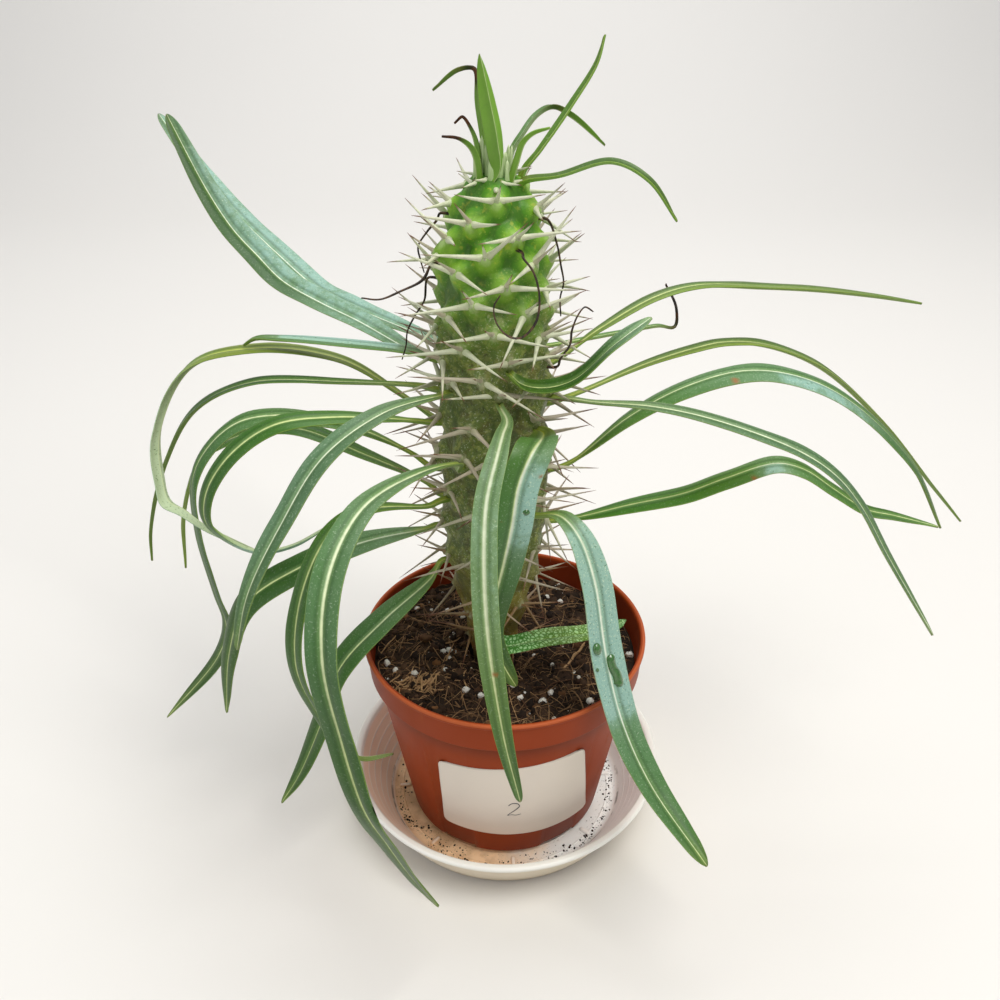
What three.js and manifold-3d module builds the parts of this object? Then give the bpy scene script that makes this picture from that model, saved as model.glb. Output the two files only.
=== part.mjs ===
// A potted Madagascar palm: a spiny green stem with long strap leaves, in a round pot on a saucer.
// Millimetres, +Z up. The origin is the middle of the saucer's flat underside.

import * as THREE from 'three';
import { mergeVertices } from 'three/addons/utils/BufferGeometryUtils.js';
import Module from 'manifold-3d';

const wasm = await Module();
wasm.setup();

// Driving dimensions, in mm
const CLEARANCE = 0.3;
const ROUND_SIDES = 32;

const SAUCER_FLOOR = 2.2;
const SAUCER_RIB_TOP = 4.2;
const SAUCER_RIBS = [22, 40];
const SAUCER_RIB_HALF_WIDTHS = [1.6, 0.8];
// The dish's wall as [radius, height], up its outside and down its inside
const SAUCER_WALL = [
  [54, 0], [56.5, 2], [64, 15], [69.2, 23.6], [70, 24.8], [69.1, 26],
  [66.6, 25.4], [63.2, 18.6], [62, 18], [60, 14], [58.8, 13.4], [56.8, 9.4], [55.6, 8.8], [53, 3.4],
  [51.2, SAUCER_FLOOR],
];

const POT_BOTTOM = SAUCER_RIB_TOP + CLEARANCE;
const POT_HEIGHT = 89.5;
const POT_TOP = POT_BOTTOM + POT_HEIGHT;
const POT_RIM_RADIUS = 60;
const POT_FOOT_RADIUS = 43.5;
const POT_WALL = 1.5;
const POT_FLOOR = 2.4;
const COLLAR_HEIGHT = 14.5;
const COLLAR_BOTTOM = POT_TOP - COLLAR_HEIGHT;
const COLLAR_STEP = 2.4;
const POT_SHOULDER_RADIUS = 56;
const DRAIN_SLOTS = { count: 6, width: 17, height: 2.6, depth: 9, firstAzimuth: -58 };
const DRAIN_HOLES = { count: 6, radius: 3.5, ring: 24, sides: 10 };
const POT_FLOOR_TOP = POT_BOTTOM + POT_FLOOR;
// The pot's outline as [radius, height], from under its floor, up its outside and down its inside
const POT_OUTSIDE = [
  [0, POT_BOTTOM + 1], [34.5, POT_BOTTOM + 1], [36, POT_BOTTOM], [42.9, POT_BOTTOM],
  [POT_FOOT_RADIUS, POT_BOTTOM + 0.6], [POT_SHOULDER_RADIUS, COLLAR_BOTTOM],
  [POT_SHOULDER_RADIUS + COLLAR_STEP, COLLAR_BOTTOM + 0.4], [59.2, POT_TOP - 2.2], [POT_RIM_RADIUS, POT_TOP - 1.8],
];
const POT_INSIDE = [
  [POT_RIM_RADIUS, POT_TOP], [58.1, POT_TOP], [57.6, POT_TOP - 1.8],
  [POT_SHOULDER_RADIUS + COLLAR_STEP - 1.6, COLLAR_BOTTOM + 2], [POT_SHOULDER_RADIUS - POT_WALL, COLLAR_BOTTOM],
];

// The label's corners, from the lower left one round: millimetres to the right along the wall, height
const LABEL_CORNERS = [[-27.8, 19.8], [39.5, 18.8], [33.6, 67.8], [-28.3, 63.5]];
const LABEL_AZIMUTH = -90;
const LABEL_THICK = 0.5;
const LABEL_ROUNDING = 2.5;
const LABEL_COLUMNS = 14;
const LABEL_ROWS = [0, 0.015, 0.054, 0.5, 0.946, 0.985, 1];

const SOIL_TOP = 83.5;
const SOIL_BOTTOM = POT_BOTTOM + POT_FLOOR + CLEARANCE;
const SOIL_RELIEF = 1.5;
const SOIL_HOLE_BOTTOM = 58;
const SOIL_HOLE_ROOM = 2.7;
const SOIL_HOLE_TAPER = 3;
const SOIL_TO_WALL = CLEARANCE + 0.2;
// Across the soil's top: radius, height over its usual level and how much of the unevenness it has
const SOIL_RINGS = [[50, -0.6, 1], [43, 0, 1], [36, 0.4, 1], [29, 0.6, 1], [20, 0.5, 1]];

const STEM_BOTTOM = SOIL_HOLE_BOTTOM + CLEARANCE;
const STEM_TOP = 284.5;
const STEM_COLUMNS = 28;
const STEM_ROWS = 46;

// Height above the table and the measure there, for the stem without its bumps
const STEM_CORE = [
  [58, 7.5], [70, 8.2], [84, 9], [93, 9.8], [102, 11.2], [114, 13.6], [129, 16.5], [140, 17.8], [157, 18.4],
  [200, 17.8], [225, 17.4], [240, 16.9], [252, 16], [262, 14.2], [270, 12.2], [276, 9.8], [281, 6.4], [284.5, 0],
];
const STEM_LEAN = [[58, -4.5], [84, -4.8], [110, -4.5], [150, -4.1], [200, -3.8], [256, -3.6], [291, -3]];
const BUMP_SPACING = [[58, 15], [110, 16], [160, 15.5], [210, 13.5], [250, 11.8], [284, 9.8]];
const BUMP_HEIGHT = [[58, 1], [93, 1.2], [114, 2.2], [160, 2.8], [210, 3.2], [245, 4.2], [270, 4], [284, 1.6]];
const BUMP_REACH = { across: 0.56, above: 0.5, below: 0.72 };
const BUMP_PACKING = 0.87;
const LEAST_BUMP_RADIUS = 6;
const SPINE_LENGTH = [[80, 19], [110, 23], [200, 24], [255, 20], [275, 16], [284, 13]];
const SPINE_LIFT = [[80, -0.1], [140, -0.3], [210, -0.22], [250, 0.05], [275, 0.15], [284, 0.4]];

const GOLDEN_ANGLE = 137.508;
const LOWEST_BUMP = SOIL_TOP + 6;
const HIGHEST_BUMP = 279;
const SPINE_ROOT_RADIUS = 1.15;
const SPINE_SPLAY = 64;
const SPINE_SUNK = 1.4;
const SHORT_SPINE = { share: 0.62, lift: 0.7 };
// How much the spines differ: degrees of splay, of a short one's splay, lift and share of length
const SPINE_SPREAD = { splay: 14, shortSplay: 10, lift: 0.24, reach: 0.3 };
const SPINE_TURNS = [0, 20, -20, 40, -40, 60, -60];
const SPINE_TO_BLADE = 3.6;
const SPINE_OVER_SOIL = 3;

const BLADE_THICK = 0.9;
const SMALL_BLADE_THICK = 0.65;
const SMALL_LEAF_WIDTH = 3.2;
const PETIOLE = { length: 16, width: 3, fold: 22, belowSpines: 3.6 };
const TIP_WIDTH = 0.7;
const LEAF_SUNK = 3;
const YOUNG_LEAF_SEAT = 281.5;
const BLADE_SECTIONS = 13;
const SMALL_BLADE_SECTIONS = 9;

// How much of its full width a leaf has, from the stem to the tip
const BLADE_WIDTH = [
  [0, 0], [0.05, 0.1], [0.13, 0.52], [0.24, 0.88], [0.38, 1], [0.56, 0.98], [0.74, 0.8], [0.9, 0.46], [1, 0.06],
];

// Each leaf: where it grows from (azimuth in degrees, height), the azimuth it reaches out along, its
// width, its fold and its turn from stem to tip in degrees, the part of the width table it uses if not
// all of it, and its midrib's route as [out from the axis, height, sideways].
const LEAVES = {
  leaf_left_1: {
    from: [143, 210], azimuth: 142, width: 13, fold: 14, turn: [0, -27], span: [0, 0.93],
    route: [
      [43, 209], [75, 215.5], [98, 219], [120, 224], [134, 232], [149, 241.5], [163, 256], [179, 279],
      [183, 285],
    ],
  },
  leaf_left_2: {
    from: [166, 215], azimuth: 166, width: 8.5, fold: 6, turn: [0, 0],
    route: [[36, 217], [69, 217.8], [89, 217.6], [99, 216.8], [104.5, 213.7]],
  },
  leaf_left_3: {
    from: [158, 189], azimuth: 166, width: 10.5, fold: 4, turn: [15, -25],
    route: [
      [41, 195.5, -6], [66, 208.4, -6], [98, 212.2, -1], [126, 204.8, 6], [138, 180, 18], [134, 163, 28],
      [130, 157, 32], [121, 155, 35], [112, 150, 36], [94, 137, 30],
    ],
  },
  leaf_left_4: {
    from: [172, 204], azimuth: 168, width: 6, fold: 8, turn: [0, -25],
    route: [
      [30, 205, 2], [62, 204, 2], [102, 199, -1], [130, 184, -4], [152, 155, -9], [172, 114, -16],
      [178, 92, -19],
    ],
  },
  leaf_left_5: {
    from: [192, 194], azimuth: 192, width: 9.5, fold: -2, turn: [0, -45],
    route: [
      [34, 196.3], [63, 200.5], [84, 199.6], [100, 190.2], [111, 175.9], [113.5, 163], [109, 155.2],
      [97, 146.4], [84, 147], [70, 153.6],
    ],
  },
  leaf_left_6: {
    from: [177, 172], azimuth: 177, width: 10.5, fold: -7, turn: [0, -60],
    route: [
      [35, 177.7], [54, 187.5], [72, 192], [88, 193], [102, 189.8], [115, 179.4], [124, 164.7],
      [127, 138], [124, 107], [122, 91], [128, 74], [159, 35],
    ],
  },
  leaf_left_7: {
    from: [160, 156], azimuth: 160, width: 9, fold: 3, turn: [0, -35],
    route: [[32, 159], [61, 167.7], [95, 174.2], [140, 154], [158, 123], [165, 87]],
  },
  leaf_left_8: {
    from: [192, 149], azimuth: 192, width: 14, fold: 0, turn: [0, -40],
    route: [[31, 149], [56, 146], [81, 138], [104, 124], [114, 101], [120, 69]],
  },
  leaf_left_9: {
    from: [201, 134], azimuth: 201, width: 15.5, fold: 4, turn: [0, -15],
    route: [[31, 128, -1], [52, 113], [72, 95, 1], [82, 72, 3], [95, 48, 6], [104, 36, 7]],
  },
  leaf_left_10: {
    from: [126, 214], azimuth: 136, width: 13, fold: 12, turn: [0, 0], span: [0, 0.93],
    route: [
      [45, 211, -7], [67, 212.5, -5], [96, 215, -3], [112, 217.5, -1.5], [139, 227.5, -1], [172, 242.6],
      [194, 255.5], [212, 268.5], [226, 279],
    ],
  },
  leaf_front_1: {
    from: [222, 210], azimuth: 222, width: 11, fold: 6, turn: [0, 0], span: [0, 0.93],
    route: [[31, 212], [54, 213], [79, 205], [97, 187], [112, 167], [119, 148]],
  },
  leaf_front_2: {
    from: [213, 165], azimuth: 214, width: 9, fold: 6, turn: [0, -25],
    route: [
      [33, 166, -1], [60, 173, -1], [75, 168], [88, 150, 2], [95, 123, 5], [90, 98, 6], [77, 67, 7],
      [60, 58, 6],
    ],
  },
  leaf_front_3: {
    from: [237, 182], azimuth: 242, width: 10.5, fold: 6, turn: [0, 0],
    route: [
      [30, 188, -2], [55, 196, -3], [90, 200, -2], [114, 191, 3], [127, 174, 9], [130, 148, 15],
      [131, 125, 21], [124, 103, 23], [113, 75, 23], [96, 37, 22],
    ],
  },
  leaf_front_4: {
    from: [-84, 208], azimuth: -90, width: 8.7, fold: 10, turn: [0, 0], span: [0.05, 0.95],
    route: [
      [28, 206, 0.9], [36, 204.3, -0.6], [44, 200.5, -2.5], [55, 190, -6], [66, 175, -7], [76, 152, -6],
      [84, 114, -1], [87, 84, 5],
    ],
  },
  leaf_front_5: {
    from: [-42, 195], azimuth: -75, width: 14, fold: 8, turn: [0, 0], span: [0.07, 0.96],
    route: [
      [30, 198.5, 5.5], [36, 201, 3], [41.4, 198.8, -2], [44.5, 189.8, -7], [47, 174.8, -10.3],
      [45.8, 156.5, -13.5], [43.4, 134.5, -17.4], [43, 124.5, -17], [44.4, 111.4, -12.2],
      [45.5, 101.6, -7.8],
    ],
  },
  leaf_front_6: {
    from: [-52, 162], azimuth: -50, width: 15, fold: 8, turn: [0, 0], span: [0.02, 0.93],
    route: [[33, 166, -1], [42, 161], [51, 146], [61, 117, -1.8], [72, 91, -1.8], [88, 72, -1.8], [117, 54, -1.5]],
  },
  leaf_front_7: {
    from: [-112, 97], azimuth: 15, width: 10.5, fold: 6, turn: [0, 0],
    route: [[-7, 106, -26], [8, 108, -28], [27, 103, -23], [43, 100, -18], [51, 97, -12]],
  },
  leaf_right_1: {
    from: [22, 212], azimuth: 22, width: 7.5, fold: 3, turn: [0, 0],
    route: [[38, 223], [61, 232.4], [79, 234.8], [111, 230.5], [139, 225.8], [169, 219.4], [196, 212.7]],
  },
  leaf_right_2: {
    from: [48, 214], azimuth: 48, width: 3.5, fold: 6, turn: [0, 0],
    route: [[38, 213], [74, 207], [103, 202], [117, 198], [116, 206], [105, 219.5]],
  },
  leaf_right_3: {
    from: [-74, 219.5], azimuth: -15, width: 10, fold: 8, turn: [0, 20], span: [0.02, 0.9],
    route: [
      [11.5, 217.4, -20.7], [18, 217.2, -22.1], [24.7, 218.4, -21.3], [31.3, 222, -20.6],
      [41.8, 232.7, -16.8], [52.5, 240, -6.7],
    ],
  },
  leaf_right_4: {
    from: [16, 197], azimuth: 16, width: 7, fold: 4, turn: [0, 15],
    route: [
      [30, 200.5], [56, 208.6], [76, 212.7], [89, 213.9], [107, 211], [134, 198.9], [170, 169.2],
      [207, 130.4], [229, 107.5],
    ],
  },
  leaf_right_5: {
    from: [3, 171], azimuth: 3, width: 12.5, fold: -10, turn: [0, 20],
    route: [
      [27, 175], [47, 192.4], [67, 204.1], [89, 210.2], [110, 207.5], [132, 196.7], [163, 168.3],
      [182, 137.5],
    ],
  },
  leaf_right_6: {
    from: [-13, 204], azimuth: -13, width: 7.5, fold: 3, turn: [0, 20],
    route: [
      [34, 203.5], [55, 203.7], [77, 200.7], [107, 191.7], [121, 183.5], [132, 171.8], [145, 152.1],
      [168, 119],
    ],
  },
  leaf_right_7: {
    from: [-4, 149], azimuth: -4, width: 9.8, fold: -10, turn: [12, 15],
    route: [
      [29, 151], [49, 157.3], [70, 163.4], [85, 170.5], [103, 177.5], [114, 175.2], [127, 166.7],
      [140, 158.6], [151, 156.2], [169, 151.8],
    ],
  },
  leaf_back_1: {
    from: [82, 192], azimuth: 82, width: 12, fold: 14, turn: [0, 0],
    route: [[36, 198], [62, 202], [88, 194], [108, 174], [120, 146], [124, 118]],
  },
  leaf_back_2: {
    from: [102, 154], azimuth: 100, width: 12, fold: 14, turn: [0, 0],
    route: [[36, 158], [62, 163], [88, 156], [106, 136], [114, 108]],
  },
  leaf_back_3: {
    from: [90, 120], azimuth: 90, width: 11, fold: 14, turn: [0, 0],
    route: [[36, 124], [58, 128], [80, 122], [96, 106], [104, 86]],
  },
};

// The young leaves at the top and the dry ones that still hang on, given in the same way
const YOUNG_LEAVES = {
  young_leaf_1: {
    azimuth: -120, width: 6.5, fold: 24, turn: [60, 50],
    route: [[6, 284, 1], [7, 294, 1], [7, 305, -1.5], [7, 318, -4.6]],
  },
  young_leaf_2: {
    azimuth: 150, width: 3, fold: 24, turn: [30, 0],
    route: [[8, 284, -1], [10, 303, -1], [11, 313, -1], [15, 313, 2], [23, 307, 6]],
  },
  young_leaf_3: {
    azimuth: 180, width: 2.4, fold: 20, turn: [20, 0],
    route: [[8, 289], [10, 296], [13, 300], [16, 298]],
  },
  young_leaf_4: {
    azimuth: 215, width: 2.6, fold: 20, turn: [0, 0],
    route: [[9.5, 285, -0.5], [12, 291], [17, 295], [22, 296, -2]],
  },
  young_leaf_5: {
    azimuth: 30, width: 3, fold: 24, turn: [0, -20],
    route: [[5, 287, 4], [8, 293.5, 1.5], [12, 299.5, -1], [16, 302, -4], [21, 299.5, -7], [32, 290, -12]],
  },
  young_leaf_6: {
    azimuth: -35, width: 2.6, fold: 20, turn: [0, 0],
    route: [[6, 286, -2], [9, 293, -2], [12, 296, -1], [17, 298, 1]],
  },
  young_leaf_7: {
    azimuth: 0, width: 2.8, fold: 24, turn: [40, 40],
    route: [[7, 283.5], [12, 289.5], [22, 303.5], [29, 315], [31, 323]],
  },
  young_leaf_8: {
    azimuth: -15, width: 3, fold: 24, turn: [20, 20],
    route: [[8, 281, -3], [19, 283, -3], [36, 288, -3], [48, 283, -3], [58, 270]],
  },
};

const DRY_LEAVES = {
  dry_leaf_1: {
    from: [-64, 261], azimuth: 0, width: 1.6, fold: 8, turn: [0, 0],
    route: [
      [6.4, 261.5, -26], [9.5, 257.8, -28], [11.4, 251.4, -31], [10.9, 244.5, -33], [8.6, 240, -33],
      [5.5, 237.4, -33], [2.4, 237.4, -33], [-0.6, 239.3, -33], [-3.1, 242.8, -32], [-3.7, 247.5, -31],
      [-1.6, 251.3, -31],
    ],
  },
  dry_leaf_2: {
    from: [-20, 217], azimuth: -25, width: 1.6, fold: 8, turn: [0, 0],
    route: [
      [23.2, 222.9, -3.5], [26.3, 228.2, -3.2], [26.7, 233.1, -3], [28.3, 238.5, -2.3], [30.1, 241.2],
      [33.2, 239.6, 1.1],
    ],
  },
  dry_leaf_3: {
    from: [-14, 268], azimuth: 0, width: 1.5, fold: 8, turn: [0, 0],
    route: [[18, 261, -7], [19.5, 254, -9], [20.5, 248.5, -10], [19.5, 243.2, -10], [19.9, 236.7, -10]],
  },
  dry_leaf_4: {
    from: [180, 269], azimuth: 180, width: 1.5, fold: 8, turn: [0, 0],
    route: [[22.7, 267.3], [26.1, 263.5], [29.5, 258.3], [29, 253.7], [27.9, 249]],
  },
  dry_leaf_5: {
    from: [180, 247], azimuth: 180, width: 1.6, fold: 8, turn: [0, 0],
    route: [[28.2, 239.5], [31.8, 233.8], [34.8, 228.1], [35.7, 222.4], [37.4, 217.2]],
  },
  dry_leaf_6: {
    from: [200, 254], azimuth: 200, width: 2, fold: 8, turn: [0, 0],
    route: [[29, 250], [36, 246, -3], [43, 243, -6], [49, 244, -7]],
  },
};

// Colours of the plain materials
const COLOURS = {
  saucer: 0xe9dfd2, pot: 0xa8492a, label: 0xe6dcd4, soil: 0x33241a, stem: 0x5f7f35,
  leaf: 0x3f7f45, young: 0x8dbb45, dry: 0x35261c,
};

const radians = THREE.MathUtils.degToRad;
const xyz = (x, y, z) => new THREE.Vector3(x, y, z);
const polar = (out, azimuth, height) => {
  const a = radians(azimuth);
  return xyz(out * Math.cos(a), out * Math.sin(a), height);
};

// A repeatable value from 0 to 1 for each whole number
function chance(n) {
  const s = Math.sin(n * 12.9898 + 4.137) * 43758.5453;
  return s - Math.floor(s);
}

// A smooth curve through the [x, y] rows of a table
function smooth(table, x) {
  const last = table.length - 1;
  if (x <= table[0][0]) return table[0][1];
  if (x >= table[last][0]) return table[last][1];
  const k = table.findIndex((row) => row[0] >= x) - 1;
  const slope = (i) => {
    const a = table[Math.max(i - 1, 0)];
    const b = table[Math.min(i + 1, last)];
    return (b[1] - a[1]) / (b[0] - a[0]);
  };
  const [x0, y0] = table[k];
  const [x1, y1] = table[k + 1];
  const w = x1 - x0;
  const t = (x - x0) / w;
  const rise = t * t * (3 - 2 * t);
  const ends = w * t * (1 - t) * ((1 - t) * slope(k) - t * slope(k + 1));
  return y0 + (y1 - y0) * rise + ends;
}

// Solids
function solidOf(geometry) {
  const bare = geometry.clone();
  bare.deleteAttribute('normal');
  bare.deleteAttribute('uv');
  const merged = mergeVertices(bare, 1e-4);
  return new wasm.Manifold(new wasm.Mesh({
    numProp: 3,
    vertProperties: new Float32Array(merged.attributes.position.array),
    triVerts: new Uint32Array(merged.index.array),
  }));
}

function geometryOf(solid) {
  const mesh = solid.getMesh();
  const geometry = new THREE.BufferGeometry();
  geometry.setAttribute('position', new THREE.BufferAttribute(new Float32Array(mesh.vertProperties), 3));
  geometry.setIndex(new THREE.BufferAttribute(new Uint32Array(mesh.triVerts), 1));
  geometry.computeVertexNormals();
  return geometry;
}

function geometryFrom(points, triangles) {
  const geometry = new THREE.BufferGeometry();
  geometry.setAttribute('position', new THREE.Float32BufferAttribute(points.flatMap((p) => p.toArray()), 3));
  geometry.setIndex(triangles.flat());
  return geometry;
}

// Only the largest body of a solid is kept, so no scrap stays loose
function largestBody(solid) {
  const bodies = solid.decompose();
  return bodies.reduce((a, b) => (a.volume() >= b.volume() ? a : b));
}

function turned(profile) {
  const geometry = new THREE.LatheGeometry(profile.map(([r, z]) => new THREE.Vector2(r, z)), ROUND_SIDES);
  return geometry.rotateX(Math.PI / 2);
}

// Saucer: a shallow dish with stepped ridges inside its wall and three low ribs under the pot
function saucerSolid() {
  const [foot, crest] = SAUCER_RIB_HALF_WIDTHS;
  const ribs = SAUCER_RIBS.flatMap((r) => [
    [r - foot, SAUCER_FLOOR], [r - crest, SAUCER_RIB_TOP], [r + crest, SAUCER_RIB_TOP], [r + foot, SAUCER_FLOOR],
  ]);
  return solidOf(turned([[0, 0], ...SAUCER_WALL, ...ribs.reverse(), [0, SAUCER_FLOOR]]));
}

// Pot: a tapered wall with a deeper collar round its top, drain slots in its foot and holes in its floor
function potWallRadius(height) {
  const t = (height - POT_BOTTOM) / (COLLAR_BOTTOM - POT_BOTTOM);
  return POT_FOOT_RADIUS + (POT_SHOULDER_RADIUS - POT_FOOT_RADIUS) * t;
}

function potSolid() {
  const innerFoot = [[potWallRadius(POT_FLOOR_TOP) - POT_WALL, POT_FLOOR_TOP], [0, POT_FLOOR_TOP]];
  let pot = solidOf(turned([...POT_OUTSIDE, ...POT_INSIDE, ...innerFoot]));
  for (let k = 0; k < DRAIN_SLOTS.count; k += 1) {
    const azimuth = DRAIN_SLOTS.firstAzimuth + (360 * k) / DRAIN_SLOTS.count;
    const slot = new THREE.BoxGeometry(DRAIN_SLOTS.depth, DRAIN_SLOTS.width, 2 * DRAIN_SLOTS.height);
    slot.translate(POT_FOOT_RADIUS, 0, POT_BOTTOM).rotateZ(radians(azimuth));
    pot = pot.subtract(solidOf(slot));
  }
  for (let k = 0; k < DRAIN_HOLES.count; k += 1) {
    const azimuth = radians((360 * (k + 0.5)) / DRAIN_HOLES.count);
    const { radius, sides } = DRAIN_HOLES;
    const hole = new THREE.CylinderGeometry(radius, radius, 4 * POT_FLOOR, sides);
    hole.rotateX(Math.PI / 2).translate(DRAIN_HOLES.ring, 0, POT_BOTTOM).rotateZ(azimuth);
    pot = pot.subtract(solidOf(hole));
  }
  return pot;
}

// Label: a paper patch with rounded corners, wrapped on the pot's wall
function labelPoint(u, v, lift) {
  const [[x0, z0], [x1, z1], [x2, z2], [x3, z3]] = LABEL_CORNERS;
  const mix = THREE.MathUtils.lerp;
  const left = mix(x0, x3, v);
  const right = mix(x1, x2, v);
  const toEnd = Math.min(v, 1 - v) * (z3 - z0);
  const missing = Math.max(LABEL_ROUNDING - toEnd, 0);
  const inset = LABEL_ROUNDING - Math.sqrt(LABEL_ROUNDING ** 2 - missing ** 2);
  const along = mix(left + inset, right - inset, u);
  const height = mix(mix(z0, z3, v), mix(z1, z2, v), (along - left) / (right - left));
  const out = potWallRadius(height);
  return polar(out + lift, LABEL_AZIMUTH + THREE.MathUtils.radToDeg(along / out), height);
}

function labelSolid() {
  const columns = LABEL_COLUMNS;
  const rows = LABEL_ROWS;
  const face = (lift) => rows.flatMap((v) => (
    Array.from({ length: columns + 1 }, (_, i) => labelPoint(i / columns, v, lift))
  ));
  const points = [...face(CLEARANCE), ...face(CLEARANCE + LABEL_THICK)];
  const across = columns + 1;
  const front = across * rows.length;
  const triangles = [];
  for (let j = 0; j + 1 < rows.length; j += 1) {
    for (let i = 0; i < columns; i += 1) {
      const a = j * across + i;
      const [b, c, d] = [a + 1, a + across + 1, a + across];
      triangles.push([a, c, b], [a, d, c]);
      triangles.push([front + a, front + b, front + c], [front + a, front + c, front + d]);
    }
  }
  const edge = [];
  for (let i = 0; i < columns; i += 1) edge.push(i);
  for (let j = 0; j + 1 < rows.length; j += 1) edge.push(j * across + columns);
  for (let i = columns; i > 0; i -= 1) edge.push((rows.length - 1) * across + i);
  for (let j = rows.length - 1; j > 0; j -= 1) edge.push(j * across);
  edge.forEach((a, k) => {
    const b = edge[(k + 1) % edge.length];
    triangles.push([a, b, front + b], [a, front + b, front + a]);
  });
  return solidOf(geometryFrom(points, triangles));
}

// Stem: its axis leans a little, and its surface carries a bump under each cluster of spines
const coreRadius = (height) => Math.max(smooth(STEM_CORE, height), 0);
const stemLean = (height) => smooth(STEM_LEAN, height);

// The bumps climb in one spiral, each a golden angle on from the last
function spiralBumps() {
  const bumps = [];
  let height = HIGHEST_BUMP;
  while (height > LOWEST_BUMP) {
    const spacing = smooth(BUMP_SPACING, height);
    bumps.push({ azimuth: (bumps.length * GOLDEN_ANGLE) % 360, height, spacing });
    height -= (BUMP_PACKING * spacing ** 2) / (2 * Math.PI * Math.max(coreRadius(height), LEAST_BUMP_RADIUS));
  }
  return bumps;
}

const turnBetween = (a, b) => ((((a - b) % 360) + 540) % 360) - 180;

// The nearest free bump moves to where each leaf grows
function bumpsUnderLeaves(bumps, leaves) {
  for (const leaf of leaves) {
    const [azimuth, height] = leaf.from;
    const reach = radians(1) * coreRadius(height);
    const away = (bump) => Math.hypot(turnBetween(bump.azimuth, azimuth) * reach, bump.height - height);
    const free = bumps.filter((bump) => !bump.leaf);
    const nearest = free.reduce((a, b) => (away(a) <= away(b) ? a : b));
    nearest.azimuth = azimuth;
    nearest.height = height + PETIOLE.belowSpines;
    nearest.leaf = true;
  }
  return bumps;
}

const GROWN_LEAVES = [...Object.values(LEAVES), ...Object.values(DRY_LEAVES)];
const BUMPS = bumpsUnderLeaves(spiralBumps(), GROWN_LEAVES);

function stemRadius(azimuth, height) {
  const core = coreRadius(height);
  let rise = 0;
  for (const bump of BUMPS) {
    const dz = height - bump.height;
    if (Math.abs(dz) > bump.spacing) continue;
    const dx = radians(turnBetween(azimuth, bump.azimuth)) * Math.max(core, LEAST_BUMP_RADIUS);
    const across = dx / (BUMP_REACH.across * bump.spacing);
    const along = dz / ((dz > 0 ? BUMP_REACH.above : BUMP_REACH.below) * bump.spacing);
    const near = 1 - across ** 2 - along ** 2;
    if (near > 0) rise += near ** 1.5 * smooth(BUMP_HEIGHT, bump.height);
  }
  return core + rise;
}

const onStem = (azimuth, height, lift) => {
  const p = polar(Math.max(stemRadius(azimuth, height) + lift, 0), azimuth, height);
  p.x += stemLean(height);
  return p;
};

// The stem's skin as a closed grid, moved outwards by lift
function stemSkin(lift) {
  const rowHeight = (j) => {
    const u = j / (STEM_ROWS - 1);
    return STEM_BOTTOM + (STEM_TOP - 0.4 - STEM_BOTTOM) * u * (1.12 - 0.12 * u);
  };
  const points = [xyz(stemLean(STEM_BOTTOM), 0, STEM_BOTTOM - lift)];
  for (let j = 0; j < STEM_ROWS; j += 1) {
    const height = rowHeight(j);
    for (let i = 0; i < STEM_COLUMNS; i += 1) {
      points.push(onStem((360 * (i + 0.5 * (j % 2))) / STEM_COLUMNS, height, lift));
    }
  }
  const top = points.push(xyz(stemLean(STEM_TOP), 0, STEM_TOP + lift)) - 1;
  const triangles = [];
  for (let i = 0; i < STEM_COLUMNS; i += 1) {
    const n = (i + 1) % STEM_COLUMNS;
    triangles.push([0, 1 + n, 1 + i]);
    triangles.push([top - STEM_COLUMNS + i, top - STEM_COLUMNS + n, top]);
    for (let j = 0; j + 1 < STEM_ROWS; j += 1) {
      const row = 1 + j * STEM_COLUMNS;
      const next = row + STEM_COLUMNS;
      if (j % 2) triangles.push([row + i, row + n, next + n], [row + i, next + n, next + i]);
      else triangles.push([row + i, row + n, next + i], [row + n, next + n, next + i]);
    }
  }
  return solidOf(geometryFrom(points, triangles));
}

// Leaves: a route for the midrib, and a folded blade on it
function leafRoute(leaf) {
  const along = polar(1, leaf.azimuth, 0);
  const sideways = polar(1, leaf.azimuth + 90, 0);
  const route = leaf.route.map(([out, up, side = 0]) => (
    along.clone().multiplyScalar(out).addScaledVector(sideways, side).setZ(up)
  ));
  if (leaf.from) {
    const [azimuth, height] = leaf.from;
    route.unshift(onStem(azimuth, height, -LEAF_SUNK), onStem(azimuth, height + 0.5, LEAF_SUNK));
  } else {
    const height = Math.min(route[0].z, YOUNG_LEAF_SEAT) - LEAF_SUNK;
    route.unshift(onStem(leaf.azimuth, height, -LEAF_SUNK));
  }
  return new THREE.CatmullRomCurve3(route, false, 'centripetal');
}

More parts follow.
